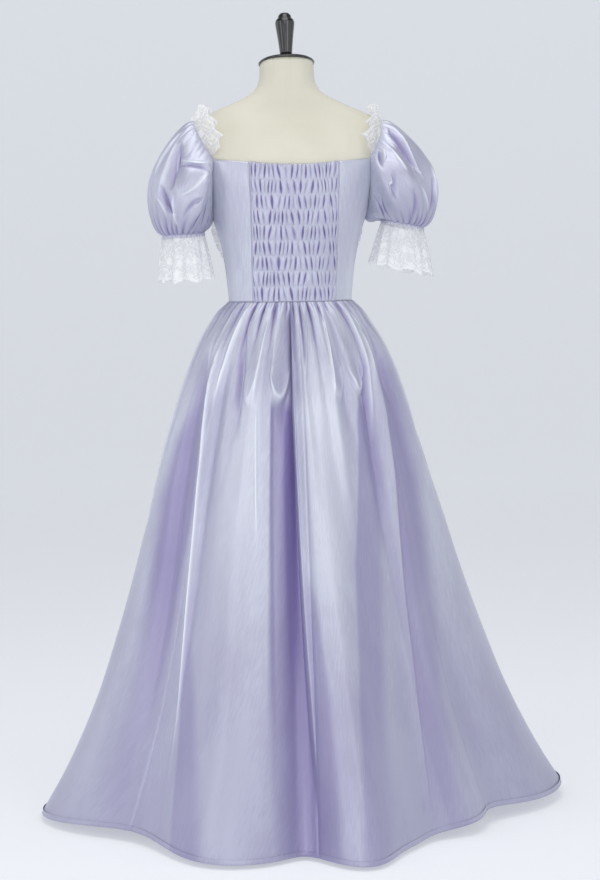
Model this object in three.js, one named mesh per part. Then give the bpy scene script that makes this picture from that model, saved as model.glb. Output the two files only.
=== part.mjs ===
// A floor-length renaissance-style gown in lavender satin, worn by a limbless dress form on a round foot.
// The shirred back panel, the puff sleeves, the lace frills and the gored, gathered skirt are separate
// sewn walls, each 0.3 mm or a little more from its neighbours. Units are millimetres and +Z is up.
// The origin is the middle of the foot's underside. The wearer's front faces -Y, so the back faces +Y.
// A turn is an angle round the body: 0 is the middle of the back and 90 the wearer's right, towards -X.
import * as THREE from "three";

// Cloth and gaps
const CLOTH = 1.6;
const LACE = 1.1;
const SKIRT_WALL = 2;
const EASE = 1.1;
const FRONT_EASE = 1.8;
const SEAM = 0.4;
const SHIRR_SEAM = 1;
const ARMHOLE_GAP = 1.8;

// Heights above the floor
const HEM_Z = 8;
const WAIST_Z = 1004;
const ARMPIT_Z = 1166;
const BACK_NECK_Z = 1267;
const BACK_CORNER_Z = 1280;
const FRONT_NECK_Z = 1208;
const FRONT_CORNER_Z = 1240;
const FORM_BOTTOM_Z = 700;

// Stand and neck cap
const FOOT_RADIUS = 190;
const FOOT_EDGE = 10;
const HUB_RADIUS = 34;
const HUB_TOP_Z = 46;
const POLE_RADIUS = 16;
const CAP_RADIUS = 54;
const CAP_TILT = 12;
const CONTACT = 0.3;

// Shirring, gathers and frills
const SHIRR_BANDS = 9;
const SHIRR_LEVELS = 2;
const SHIRR_PUFF = 4.2;
const SHIRR_TOP_X = 86;
const SHIRR_WAIST_X = 79;
const GATHERS = 36;
const GATHER_DEPTH = 5;
const SLEEVE_COLUMNS = 32;
const SLEEVE_FOLDS = 9;
const CUFF_RADIUS = 41;
const CUFF_LACE_DROP = 90;
const CUFF_WAVES = 10;
const NECK_WAVES = 8;
const FRONT_WAVES = 7;
const FRONT_NECK_WAVES = 11;

const { abs, cos, exp, max, min, PI, pow, sign, sin, tan } = Math;
const radians = (degrees) => (degrees * PI) / 180;
const mix = (a, b, share) => a + (b - a) * share;
const clamp = (value) => min(1, max(0, value));
const ease = (share) => clamp(share) ** 2 * (3 - 2 * clamp(share));
const bell = (distance, width) => exp(-((distance / width) ** 2));
const between = (value, start, end) => ease((value - start) / (end - start));

// The signed angle from one turn to another, in degrees, from -180 to 180
const turnBetween = (from, to) => ((((to - from + 180) % 360) + 360) % 360) - 180;

// A table's rows as objects, one key for each column name
const table = (names, rows) =>
  rows.map((row) => Object.fromEntries(names.split(" ").map((name, i) => [name, row[i]])));

// A smooth curve through one column of a table, read at a value of its first column
function column(rows, key, name) {
  const xs = rows.map((row) => row[key]);
  const ys = rows.map((row) => row[name]);
  const last = xs.length - 1;
  const slopes = xs.map((_, i) => {
    const a = max(0, i - 1);
    const b = min(last, i + 1);
    return (ys[b] - ys[a]) / (xs[b] - xs[a]);
  });
  return (x) => {
    if (x <= xs[0]) return ys[0];
    if (x >= xs[last]) return ys[last];
    const i = xs.findIndex((value) => value > x) - 1;
    const step = xs[i + 1] - xs[i];
    const t = (x - xs[i]) / step;
    const bend = (1 - t) * slopes[i] - t * slopes[i + 1] + (2 * t - 1) * ((ys[i + 1] - ys[i]) / step);
    return mix(ys[i], ys[i + 1], t) + t * (1 - t) * step * bend;
  };
}

// The dress form: level sections of its skin
const FORM = table("z halfWidth back front centre", [
  [700, 146, 100, 90, 0],
  [722, 160, 111, 95, 0],
  [762, 169, 118, 99, 0],
  [804, 172, 120, 100, 0],
  [846, 167, 114, 98, 0],
  [888, 156, 104, 94, 0],
  [930, 139, 93, 90, 0],
  [967, 124, 85, 86, 0],
  [1004, 117.5, 82, 84, 0],
  [1042, 120.5, 84, 89, 0],
  [1080, 125, 88, 99, 0],
  [1124, 133, 94, 115, 0],
  [1166, 146, 99, 123, 0],
  [1208, 157.5, 101, 117, 0],
  [1240, 167, 100, 106, 0],
  [1280, 179, 94, 90, -2],
  [1309, 187, 82, 76, -4],
  [1333, 190, 68, 62, -5],
  [1346, 188, 57, 53, -6],
  [1355, 182, 50, 48, -7],
  [1367, 158, 46, 46, -8],
  [1382, 124, 44, 47, -9],
  [1397, 90, 45, 49, -10],
  [1411, 67, 46, 51, -11],
  [1429, 55.5, 48, 51, -12],
  [1458, 52, 50, 50, -12],
]);
const FORM_ROUNDNESS = 2.2;
const BUST = { turn: 143, width: 24, z: 1168, height: 46, swell: 13 };
const formHalfWidth = column(FORM, "z", "halfWidth");
const formBack = column(FORM, "z", "back");
const formFront = column(FORM, "z", "front");
const formCentre = column(FORM, "z", "centre");

// A point on the form's skin, or at a distance outside it
function formPoint(turn, z, out = 0) {
  const s = sin(radians(turn));
  const c = cos(radians(turn));
  const fromBust = min(abs(turnBetween(BUST.turn, turn)), abs(turnBetween(-BUST.turn, turn)));
  const bust = BUST.swell * bell(fromBust, BUST.width) * bell(z - BUST.z, BUST.height);
  const depth = (c >= 0 ? formBack(z) : formFront(z) + bust) + out;
  const x = -(formHalfWidth(z) + out) * sign(s) * pow(abs(s), 2 / FORM_ROUNDNESS);
  const y = formCentre(z) + depth * sign(c) * pow(abs(c), 2 / FORM_ROUNDNESS);
  return new THREE.Vector3(x, y, z);
}

// The turn at which the form's section at a height is a given distance from the middle
function turnAt(x, z, front = false) {
  const share = clamp(x / formHalfWidth(z));
  const turn = (Math.asin(pow(share, FORM_ROUNDNESS / 2)) * 180) / PI;
  return front ? 180 - turn : turn;
}

// A closed solid made from rows of points joined by strips of triangles
class Solid {
  points = [];
  faces = [];
  row(points, closed = false) {
    const made = points.map((point, i) => ({
      index: this.points.push(point) - 1,
      along: i / (closed ? points.length : points.length - 1),
    }));
    if (closed) made.push({ index: made[0].index, along: 1 });
    return made;
  }
  strip(a, b, tie = 1e-9) {
    let i = 0;
    let j = 0;
    while (i < a.length - 1 || j < b.length - 1) {
      const useA = j === b.length - 1 || (i < a.length - 1 && a[i + 1].along <= b[j + 1].along + tie);
      if (useA) {
        this.faces.push([a[i].index, a[i + 1].index, b[j].index]);
        i += 1;
      } else {
        this.faces.push([a[i].index, b[j + 1].index, b[j].index]);
        j += 1;
      }
    }
  }
  cap(row, centre, facing) {
    const middle = this.points.push(centre) - 1;
    for (let i = 0; i < row.length - 1; i += 1) {
      const face = [row[i].index, row[i + 1].index, middle];
      this.faces.push(facing ? face : [face[1], face[0], face[2]]);
    }
  }
  geometry() {
    const volume = this.faces.reduce((sum, [a, b, c]) => {
      const [p, q, r] = [this.points[a], this.points[b], this.points[c]];
      return sum + p.dot(new THREE.Vector3().crossVectors(q, r));
    }, 0);
    const faces = volume > 0 ? this.faces : this.faces.map(([a, b, c]) => [a, c, b]);
    const geometry = new THREE.BufferGeometry().setFromPoints(this.points);
    geometry.setIndex(faces.flat());
    geometry.computeVertexNormals();
    return geometry;
  }
}

// A wall between an outer and an inner set of rows: a panel with four edges, or a tube if closed
function wall(outerPoints, innerPoints, closed = false) {
  const solid = new Solid();
  const outer = outerPoints.map((points) => solid.row(points, closed));
  const inner = innerPoints.map((points) => solid.row(points, closed));
  const edges = [...outer.slice(1), inner[inner.length - 1]];
  outer.forEach((row, i) => solid.strip(row, edges[i]));
  // the inner rows run back up, and split each four-sided facet along the same diagonal as the outer ones
  inner.forEach((row, i) => solid.strip(row, i ? inner[i - 1] : outer[0], i ? -1e-9 : 1e-9));
  if (closed) return solid.geometry();
  const side = (rows, pick) =>
    rows.map((row, i) => ({ index: pick(row).index, along: i / (rows.length - 1) }));
  const first = (row) => row[0];
  const last = (row) => row[row.length - 1];
  solid.strip(side(outer, first), side(inner, first));
  solid.strip(side(inner, last), side(outer, last));
  return solid.geometry();
}

// Rows of points from a function of two shares, both from 0 to 1
function grid(pointAt, columns, rows, closed = false) {
  const shares = (count, open) => Array.from({ length: count + (open ? 1 : 0) }, (_, i) => i / count);
  return shares(rows, true).map((down) => shares(columns, !closed).map((across) => pointAt(across, down)));
}

// The outward normal of a surface function, from small steps either side
function normalOf(pointAt, across, down) {
  const step = 0.004;
  const low = clamp(down - step);
  const high = clamp(down + step);
  const alongAcross = pointAt(across + step, down).sub(pointAt(across - step, down));
  const alongDown = pointAt(across, high).sub(pointAt(across, low));
  return alongAcross.cross(alongDown).normalize();
}

const satin = new THREE.MeshStandardMaterial({ color: 0xbdb7dc, roughness: 0.35, metalness: 0.1 });
const lace = new THREE.MeshStandardMaterial({ color: 0xf1f1f2, roughness: 0.85 });
const linen = new THREE.MeshStandardMaterial({ color: 0xe0dccb, roughness: 0.9 });
const lacquer = new THREE.MeshStandardMaterial({ color: 0x15151a, roughness: 0.25 });
const steel = new THREE.MeshStandardMaterial({ color: 0x2a2a2e, roughness: 0.4, metalness: 0.6 });

const gown = new THREE.Group();
function add(name, geometry, material, parent = gown) {
  const mesh = new THREE.Mesh(geometry, material);
  mesh.name = name;
  parent.add(mesh);
  return mesh;
}

// The form's torso, with its neck top sloping down to the front
const NECK_TOP_Z = 1464;
const NECK_RIM_Z = 1458;
const NECK_CENTRE = new THREE.Vector3(0, formCentre(NECK_RIM_Z), NECK_TOP_Z);
function buildForm() {
  const columns = 32;
  const solid = new Solid();
  const neckStart = 1429;
  const rows = FORM.map(({ z }) => {
    const neck = between(z, neckStart, NECK_RIM_Z);
    const ring = Array.from({ length: columns }, (_, i) => {
      const point = formPoint((360 * i) / columns, z);
      const slope = (point.y - NECK_CENTRE.y) * tan(radians(CAP_TILT));
      return point.setZ(z + neck * (slope + NECK_TOP_Z - NECK_RIM_Z));
    });
    return solid.row(ring, true);
  });
  rows.slice(1).forEach((row, i) => solid.strip(rows[i], row));
  solid.cap(rows[0], new THREE.Vector3(0, 0, FORM_BOTTOM_Z), false);
  solid.cap(rows[rows.length - 1], NECK_CENTRE.clone(), true);
  add("form_torso", solid.geometry(), linen);
}

const turned = (outline, segments) =>
  new THREE.LatheGeometry(
    outline.map(([r, z]) => new THREE.Vector2(r, z)),
    segments,
  ).rotateX(PI / 2);

// The neck cap and its turned handle, square to the sloping neck top
function buildCap() {
  const group = new THREE.Group();
  group.position.copy(NECK_CENTRE);
  group.rotation.x = radians(CAP_TILT);
  gown.add(group);
  const capTop = 12;
  const capOutline = [[0, CONTACT], [CAP_RADIUS, CONTACT], [CAP_RADIUS + 1, 3], [CAP_RADIUS - 2, 6],
    [40, 9.5], [22, 11.6], [12, capTop], [0, capTop]];
  add("form_neck_cap", turned(capOutline, 28), lacquer, group);
  const handle = [[0, 0], [9, 0], [9, 7], [12, 10], [13.5, 26], [16, 48], [18.5, 66], [19, 72],
    [17.5, 77], [14, 80], [12.5, 86], [9, 90], [0, 91]];
  const finial = add("form_finial", turned(handle, 18), lacquer, group);
  finial.position.z = capTop + CONTACT;
}

// The stand: a round foot with a hub, and the pole up to the form's underside
function buildStand() {
  const foot = [[0, 0], [FOOT_RADIUS, 0], [FOOT_RADIUS, FOOT_EDGE - 3], [FOOT_RADIUS - 4, FOOT_EDGE],
    [120, 15], [60, 20], [HUB_RADIUS + 4, 24], [HUB_RADIUS, 28], [HUB_RADIUS - 6, HUB_TOP_Z - 3],
    [HUB_RADIUS - 9, HUB_TOP_Z], [0, HUB_TOP_Z]];
  add("stand_foot", turned(foot, 32), steel);
  const poleLow = HUB_TOP_Z + CONTACT;
  const poleHigh = FORM_BOTTOM_Z - CONTACT;
  const flange = 42;
  const pole = [[0, poleLow], [POLE_RADIUS, poleLow], [POLE_RADIUS, poleHigh - 12],
    [flange, poleHigh - 7], [flange, poleHigh], [0, poleHigh]];
  add("stand_pole", turned(pole, 20), steel);
}

// The armhole and neck edge of a sleeve, as a closed path on the form: share 0 is the top of the
// shoulder, 0.25 the back corner of the neckline, 0.5 the armpit and 0.75 the front corner.
const SLEEVE_HEAD = table("along turn z", [
  [0, 90, 1355],
  [0.04, 80, 1353],
  [0.1, 70, 1338],
  [0.17, 62.5, 1311],
  [0.25, 56.5, BACK_CORNER_Z],
  [0.32, 61, 1254],
  [0.38, 67, 1226],
  [0.44, 76.5, 1194],
  [0.5, 90, ARMPIT_Z],
  [0.56, 104, 1181],
  [0.62, 114, 1200],
  [0.69, 123, 1220],
  [0.75, 130, FRONT_CORNER_Z],
  [0.83, 122, 1282],
  [0.9, 112, 1324],
  [0.96, 100, 1350],
  [1, 90, 1355],
]);
const headTurn = column(SLEEVE_HEAD, "along", "turn");
const headZ = column(SLEEVE_HEAD, "along", "z");
const SLEEVE_SHARES = Array.from({ length: SLEEVE_COLUMNS }, (_, i) => i / SLEEVE_COLUMNS);

// A turn moved round the form by a distance in millimetres
function shifted(turn, z, distance) {
  const perDegree = formPoint(turn + 0.5, z).distanceTo(formPoint(turn - 0.5, z));
  return turn + distance / perDegree;
}

// One panel of the bodice from its columns, each with a turn at any height, a top and a share across.
// The levels are the heights of its rows for a column's top. Side 1 is the wearer's right, -1 the left.
function bodicePanel({
  columns,
  levels,
  side = 1,
  clearance = EASE,
  relief = () => 0,
  plainColumns = columns,
  plainLevels = levels,
}) {
  const rows = (chosen, heights, out) =>
    heights(chosen[0].top).map((_, i) =>
      chosen.map((column) => {
        const z = heights(column.top)[i];
        const point = formPoint(column.turn(z), z, out(column.share, i));
        return point.setX(point.x * side);
      }),
    );
  const outer = rows(columns, levels, (share, i) => clearance + CLOTH + relief(share, i));
  return wall(outer, rows(plainColumns, plainLevels, () => clearance));
}

const SHIRR_ROWS = table("puckers shift", [
  [9, 0.1], [9.5, 0.55], [9, 0.2], [9.5, 0.8], [9, 0.45],
  [9.5, 0.95], [9, 0.3], [9.5, 0.7], [10, 0.05],
]);
// How far the shirred cloth puffs out between its rows of elastic
function shirring(across, row) {
  const up = row / SHIRR_LEVELS;
  const band = min(SHIRR_BANDS - 1, Math.floor(up + 1e-9));
  const { puckers, shift } = SHIRR_ROWS[band];
  const puff = pow(sin(PI * clamp(up - band)), 0.7);
  const pucker = 0.5 + 0.5 * cos(2 * PI * (puckers * across + shift));
  const sides = between(across, 0, 0.04) * between(across, 1, 0.96);
  return (0.6 + SHIRR_PUFF * puff * pucker) * sides;
}

const PRINCESS = table("z x", [
  [WAIST_Z, 55], [1060, 80], [1110, 98], [1166, 110], [1210, 117], [FRONT_CORNER_Z, 121],
]);
const princessX = column(PRINCESS, "z", "x");
const princess = (z) => turnAt(princessX(z), z, true);
const backSeamX = (z) => mix(SHIRR_WAIST_X, SHIRR_TOP_X, (z - WAIST_Z) / (BACK_CORNER_Z - WAIST_Z));
const backSeam = (z) => turnAt(backSeamX(z), z);
const backNeck = (across) => BACK_NECK_Z + 6 * (2 * across - 1) ** 2;
const frontNeck = (across) => mix(FRONT_NECK_Z, FRONT_CORNER_Z - 4, ease(abs(2 * across - 1)));

// Rows at the form's own levels up to under the bust, and then evenly up to the column's top
const FORM_LEVELS = [WAIST_Z, 1042, 1080, 1124];
const levelsTo = (above) => (top) => {
  const rest = Array.from({ length: above }, (_, i) => mix(FORM_LEVELS[3], top, (i + 1) / above));
  return [...FORM_LEVELS, ...rest];
};
const evenLevels = (count) => (top) =>
  Array.from({ length: count + 1 }, (_, i) => mix(WAIST_Z, top, i / count));

// Columns spread evenly between two turns that change with height
const columnsBetween = (from, to, count, top) =>
  Array.from({ length: count + 1 }, (_, i) => ({
    share: i / count,
    top: top(i / count),
    turn: (z) => mix(from(z), to(z), i / count),
  }));

// Columns that end on the armhole, one for each of the sleeve's own, so that the two edges run side by side
const armholeColumns = (from, to) =>
  SLEEVE_SHARES.filter((share) => share >= from && share <= to).map((share) => ({
    share,
    top: headZ(share) - ARMHOLE_GAP,
    turn: (z) => (share === 0.5 ? shifted(90, z, from < 0.5 ? -SEAM / 2 : SEAM / 2) : headTurn(share)),
  }));

function buildBodice() {
  const leftOf = (seam, gap = SEAM) => (z) => shifted(seam(z), z, -gap / 2);
  const rightOf = (seam, gap = SEAM) => (z) => shifted(seam(z), z, gap / 2);
  const shirredEdge = leftOf(backSeam, SHIRR_SEAM);
  const shirred = (count) => columnsBetween((z) => -shirredEdge(z), shirredEdge, count, backNeck);
  add("bodice_back_shirred", bodicePanel({
    columns: shirred(36),
    levels: evenLevels(SHIRR_BANDS * SHIRR_LEVELS),
    relief: shirring,
    plainColumns: shirred(12),
    plainLevels: levelsTo(4),
  }), satin);
  add("bodice_front", bodicePanel({
    columns: columnsBetween(rightOf(princess), (z) => 360 - rightOf(princess)(z), 16, frontNeck),
    levels: levelsTo(5),
    clearance: FRONT_EASE,
  }), satin);
  [["left", -1], ["right", 1]].forEach(([name, side]) => {
    const backCorner = () => headTurn(0.25);
    const frontCorner = () => headTurn(0.75);
    const backTop = (across) => mix(BACK_NECK_Z + 6, BACK_CORNER_Z - ARMHOLE_GAP, across);
    add("bodice_back_" + name, bodicePanel({
      columns: [
        ...columnsBetween(rightOf(backSeam, SHIRR_SEAM), backCorner, 3, backTop).slice(0, 3),
        ...armholeColumns(0.25, 0.5),
      ],
      levels: levelsTo(4),
      side,
    }), satin);
    add("bodice_side_front_" + name, bodicePanel({
      columns: [
        ...armholeColumns(0.5, 0.75),
        ...columnsBetween(frontCorner, leftOf(princess), 2, () => FRONT_CORNER_Z - 2).slice(1),
      ],
      levels: levelsTo(5),
      clearance: FRONT_EASE,
      side,
    }), satin);
  });
}

// The sleeves: how far each puffs out, and where its elastic cuff sits on the arm side
const SLEEVES = [
  { name: "left", side: -1, puff: 50, cuffX: 208, cuffZ: 1137, tilt: 4, laceRadius: 51, frontLace: 0.8 },
  { name: "right", side: 1, puff: 60, cuffX: 224, cuffZ: 1152, tilt: 12, laceRadius: 60, frontLace: 1.2 },
];
const PUFF_OUT = table("along out", [
  [0, 1], [0.12, 0.96], [0.25, 0.96], [0.38, 0.62], [0.5, 0.22],
  [0.62, 0.55], [0.75, 0.9], [0.88, 0.95], [1, 1],
]);
const puffOut = column(PUFF_OUT, "along", "out");

// The sleeve's top edge, side 1 on the wearer's right, level with the panels that it is sewn to
function sleeveHead(along, out = CLOTH) {
  const share = along - Math.floor(along);
  const inFront = between(share, 0.5, 0.53) * between(share, 0.85, 0.78);
  return formPoint(headTurn(share), headZ(share), out + mix(EASE, FRONT_EASE, inFront));
}

// The same edge along its straight steps, as the made sleeve has it
function sleeveEdge(along) {
  const step = Math.floor(along * SLEEVE_COLUMNS);
  const from = sleeveHead(step / SLEEVE_COLUMNS);
  return from.lerp(sleeveHead((step + 1) / SLEEVE_COLUMNS), along * SLEEVE_COLUMNS - step);
}

// The elastic edge of a sleeve, tilted so that its outer side hangs lower
function cuffPoint({ cuffX, cuffZ, tilt }, along, radius = CUFF_RADIUS, drop = 0) {
  const outward = cos(2 * PI * along) * radius;
  const back = sin(2 * PI * along) * radius;
  const slope = tan(radians(tilt)) * outward;
  return new THREE.Vector3(-(cuffX + outward), back, cuffZ - slope - drop);
}

function sleevePoint(sleeve, across, down) {
  const angle = 2 * PI * across;
  const head = sleeveHead(across);
  const cuff = cuffPoint(sleeve, across);
  const outer = max(0, cos(angle));
  const under = max(0, -cos(angle));
  const away = new THREE.Vector3(
    -0.956 * outer - 0.12 * (1 - outer) * (under > 0 ? 0 : 1),
    sin(angle),
    0.3 * outer - 0.9 * under,
  ).normalize();
  const bulge = pow(sin(PI * clamp(down)), 0.6) * (0.85 + 0.3 * down);
  const folds = 1 + 0.07 * cos(2 * PI * SLEEVE_FOLDS * across + 2) * bulge;
  const out = sleeve.puff * puffOut(across) * bulge * folds * mix(1, 1 - down, under);
  return head.lerp(cuff, down).addScaledVector(away, out);
}

function buildSleeve(sleeve) {
  const pointAt = (across, down) => sleevePoint(sleeve, across - Math.floor(across), down);
  const spread = (down) => 0.5 - 0.5 * cos(PI * down);
  const shell = (inset) => (across, share) => {
    const down = mix(share, spread(share), 0.7);
    const point = pointAt(across, down);
    return inset ? point.addScaledVector(normalOf(pointAt, across, down), -CLOTH) : point;
  };
  const flip = (point) => point.setX(point.x * sleeve.side);
  const [columns, rows] = [SLEEVE_COLUMNS, 7];
  const outer = grid(shell(false), columns, rows, true).map((row) => row.map(flip));
  const inner = grid(shell(true), columns, rows, true).map((row) => row.map(flip));
  add("sleeve_" + sleeve.name, wall(outer, inner, true), satin);
}

// The lace frill hanging from an elastic cuff
function buildCuffLace(sleeve) {
  const at = (across, down, inset) => {
    const wave = cos(2 * PI * CUFF_WAVES * across + 1.3 * sin(4 * PI * across));
    const radius = mix(CUFF_RADIUS + 0.3, sleeve.laceRadius, pow(down, 0.7)) + 6 * down * wave - inset;
    const point = cuffPoint(sleeve, across, radius, SEAM + 0.1 + CUFF_LACE_DROP * down);
    point.x += 4 * down;
    return point.setX(point.x * sleeve.side);
  };
  const columns = 3 * CUFF_WAVES;
  const outer = grid((a, d) => at(a, d, 0), columns, 2, true);
  const inner = grid((a, d) => at(a, d, LACE), columns, 2, true);
  add("cuff_lace_" + sleeve.name, wall(outer, inner, true), lace);
}

// A frill: lace sewn along an edge, standing off in a direction, with waves across its free side
function frill(name, { edge, direction, width, waves, swing, columns, side = 1 }) {
  const facing = (along) => {
    const step = 0.01;
    const run = edge(min(1, along + step)).sub(edge(max(0, along - step)));
    return run.cross(direction(along)).normalize();
  };
  const at = (along, out, offset) => {
    const wave = swing * out * cos(2 * PI * waves * along);
    const point = edge(along).addScaledVector(direction(along).normalize(), width(along) * out);
    point.addScaledVector(facing(along), wave + offset);
    return point.setX(point.x * side);
  };
  const outer = grid((a, o) => at(a, o, LACE / 2), columns, 2);
  const inner = grid((a, o) => at(a, o, -LACE / 2), columns, 2);
  add(name, wall(outer, inner), lace);
}

const NECK_FRILL = table("along rise width", [
  [0, 36, 30],
  [0.3, 36, 40],
  [0.5, 44, 42],
  [0.7, 40, 38],
  [1, 40, 26],
]);
const FRONT_FRILL = table("z width", [
  [1010, 18], [1060, 30], [1110, 43], [1150, 45], [1175, 28], [1200, 14], [1226, 9],
]);

// A direction that leaves the form's skin at an angle, over the side that a seam's run leaves to its left
function risingFrom(turn, z, run, angle) {
  const around = formPoint(turn + 0.5, z).sub(formPoint(turn - 0.5, z));
  const upward = formPoint(turn, z + 1).sub(formPoint(turn, z - 1));
  const out = around.cross(upward).normalize();
  const along = run.clone().cross(out).normalize();
  return along.multiplyScalar(cos(radians(angle))).addScaledVector(out, sin(radians(angle)));
}

function buildFrills() {
  const neckRise = column(NECK_FRILL, "along", "rise");
  const neckWidth = column(NECK_FRILL, "along", "width");
  const frontWidth = column(FRONT_FRILL, "z", "width");
  SLEEVES.forEach(({ name, side, frontLace }) => {
    const neckShare = (along) => mix(1.24, 0.76, along);
    const neckDirection = (along) => {
      const share = neckShare(along) - Math.floor(neckShare(along));
      const run = sleeveHead(neckShare(along) + 0.01).sub(sleeveHead(neckShare(along) - 0.01));
      return risingFrom(headTurn(share), headZ(share), run, neckRise(along));
    };
    frill("neck_lace_" + name, {
      edge: (along) => sleeveEdge(neckShare(along)).addScaledVector(neckDirection(along), 1.3),
      direction: neckDirection,
      width: neckWidth,
      waves: NECK_WAVES,
      swing: 5,
      columns: 28,
      side,
    });
    const frontZ = (along) => mix(FRONT_CORNER_Z - 14, WAIST_Z + 8, along);
    const onFront = FRONT_EASE + CLOTH;
    frill("front_lace_" + name, {
      edge: (along) => formPoint(princess(frontZ(along)), frontZ(along), onFront + 1.3),
      direction: () => new THREE.Vector3(-0.93, -0.36, 0),
      width: (along) => frontWidth(frontZ(along)) * frontLace,
      waves: FRONT_WAVES,
      swing: 4,
      columns: 28,
      side,
    });
  });
  frill("neck_lace_front", {
    edge: (along) => {
      const z = frontNeck(along);
      return formPoint(mix(princess(z) + 1, 359 - princess(z), along), z + 1.1, FRONT_EASE + CLOTH / 2);
    },
    direction: (along) => new THREE.Vector3(0.3 * (2 * along - 1), -0.45, 0.85),
    width: () => 26,
    waves: FRONT_NECK_WAVES,
    swing: 4.5,
    columns: 42,
  });
}

// The skirt: level sections without folds, then its folds
const SKIRT = table("z halfWidth back front roundness", [
  [8, 496, 432, 425, 2],
  [86, 452, 405, 398, 2],
  [166, 414, 376, 368, 2],
  [246, 382, 346, 338, 2],
  [326, 356, 318, 310, 2],
  [406, 332, 291, 283, 2],
  [486, 310, 266, 258, 2],
  [566, 290, 243, 236, 2],
  [646, 270, 221, 215, 2],
  [726, 249, 200, 195, 2],
  [806, 226, 178, 175, 2.02],
  [846, 213, 166, 163, 2.04],
  [886, 199, 152, 150, 2.07],
  [926, 181, 136, 135, 2.1],
  [966, 155, 115, 115, 2.15],
  [988, 137, 100, 102, 2.18],
  [1003.6, 122.6, 87.1, 89.1, 2.2],
]);
const skirtColumn = Object.fromEntries(
  ["halfWidth", "back", "front", "roundness"].map((name) => [name, column(SKIRT, "z", name)]),
);

// Big folds that reach the hem: where each starts and ends round the body, and how far it stands out there
const LOBES = table("turnHigh turnLow width out from", [
  [-84, -88, 18, 14, 0.2],
  [-55, -55, 17, -50, 0.15],
  [-27, -23, 15, 66, 0.12],
  [-6, -5, 6, -34, 0.02],
  [6, 7, 9, 92, 0.1],
  [38, 34, 11, -48, 0.1],
  [60, 60, 13, -60, 0.2],
  [95, 98, 18, 62, 0.2],
  [128, 130, 12, -30, 0.15],
  [148, 148, 11, 48, 0.15],
  [170, 170, 12, -34, 0.1],
  [191, 191, 12, 46, 0.12],
  [214, 213, 12, -32, 0.15],
  [234, 236, 12, 44, 0.15],
  [254, 252, 11, -30, 0.2],
]);
// Shorter folds that fall from the gathers, by share of the way down
const FOLDS = table("turn turnLow width out from to", [
  [-70, -72, 5, 9, 0.02, 0.5],
  [-61, -47, 3.2, 13, 0.03, 0.95],
  [-52, -52, 5, -12, 0.04, 0.6],
  [-41, -42, 4, -13, 0.03, 0.42],
  [-31, -30, 3.5, 12, 0.04, 0.45],
  [-21, -19, 4, 12, 0.02, 0.32],
  [-13, -12, 4, -9, 0.05, 0.28],
  [-5.5, -4, 2.6, -15, 0.01, 0.7],
  [1, 2, 3, 11, 0.02, 0.85],
  [10, 10, 4, 8, 0.03, 0.3],
  [18, 20, 3.5, 13, 0.03, 0.5],
  [27, 29, 4.5, -9, 0.03, 0.35],
  [34, 35, 3.5, 10, 0.04, 0.28],
  [41, 40, 4, -14, 0.05, 0.75],
  [52, 50, 4, 11, 0.03, 0.6],
  [61, 64, 5, -10, 0.03, 0.5],
  [73, 74, 5, 10, 0.02, 0.5],
  [85, 86, 5, -9, 0.03, 0.45],
  [98, 100, 5, 10, 0.03, 0.5],
  [111, 113, 5, -9, 0.03, 0.5],
  [123, 122, 5, 10, 0.02, 0.4],
  [136, 138, 5, -10, 0.03, 0.5],
  [150, 150, 5, 10, 0.03, 0.45],
  [163, 161, 5, -9, 0.03, 0.5],
  [177, 179, 5, 11, 0.02, 0.5],
  [190, 190, 5, -9, 0.03, 0.4],
  [203, 201, 5, 10, 0.03, 0.5],
  [217, 218, 5, -10, 0.03, 0.45],
  [230, 230, 5, 10, 0.02, 0.5],
  [243, 245, 5, -9, 0.03, 0.45],
  [256, 255, 5, 10, 0.03, 0.5],
  [269, 270, 5, -9, 0.03, 0.5],
  [280, 280, 5, 10, 0.03, 0.45],
]);

// How high the hem hangs above its lowest level
const HEM_LIFT = table("turn width lift", [[-60, 22, 14], [55, 20, 20], [98, 26, 18]]);
const hemZ = (turn) =>
  HEM_LIFT.reduce((sum, row) => sum + row.lift * bell(turnBetween(row.turn, turn), row.width), HEM_Z);

function skirtBase(turn, z) {
  const s = abs(sin(radians(turn)));
  const c = cos(radians(turn));
  const depth = c >= 0 ? skirtColumn.back(z) : skirtColumn.front(z);
  const n = skirtColumn.roundness(z);
  return pow(pow(s / skirtColumn.halfWidth(z), n) + pow(abs(c) / depth, n), -1 / n);
}

// The distance that the folds add to the skirt's radius, at a share of the way down
function skirtFolds(turn, fall) {
  const wander = turn + 2.2 * sin(radians(5 * turn)) + 1.4 * sin(radians(11 * turn + 40));
  const gatherDepth = GATHER_DEPTH * mix(0.45, 1, between(fall, 0, 0.03)) * (1 - between(fall, 0.05, 0.24));
  const gathers = gatherDepth * cos(radians(GATHERS * wander));
  const lobes = LOBES.reduce((sum, row) => {
    const grown = pow(clamp((fall - row.from) / (1 - row.from)), 1.15);
    const centre = mix(row.turnHigh, row.turnLow, fall);
    return sum + row.out * grown * bell(turnBetween(centre, turn), row.width);
  }, 0);
  const folds = FOLDS.reduce((sum, row) => {
    const grown = between(fall, row.from, row.from + 0.14);
    const shown = grown * (1 - between(fall, mix(row.from, row.to, 0.45), row.to));
    const centre = mix(row.turn, row.turnLow, fall / row.to);
    return sum + row.out * shown * bell(turnBetween(centre, turn), row.width);
  }, 0);
  return gathers + lobes + folds;
}

function skirtPoint(turn, fall, inset = 0) {
  const z = mix(WAIST_Z - SEAM, hemZ(turn), fall);
  const radius = skirtBase(turn, z) + skirtFolds(turn, fall) - inset;
  return new THREE.Vector3(-radius * sin(radians(turn)), radius * cos(radians(turn)), z);
}

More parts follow.
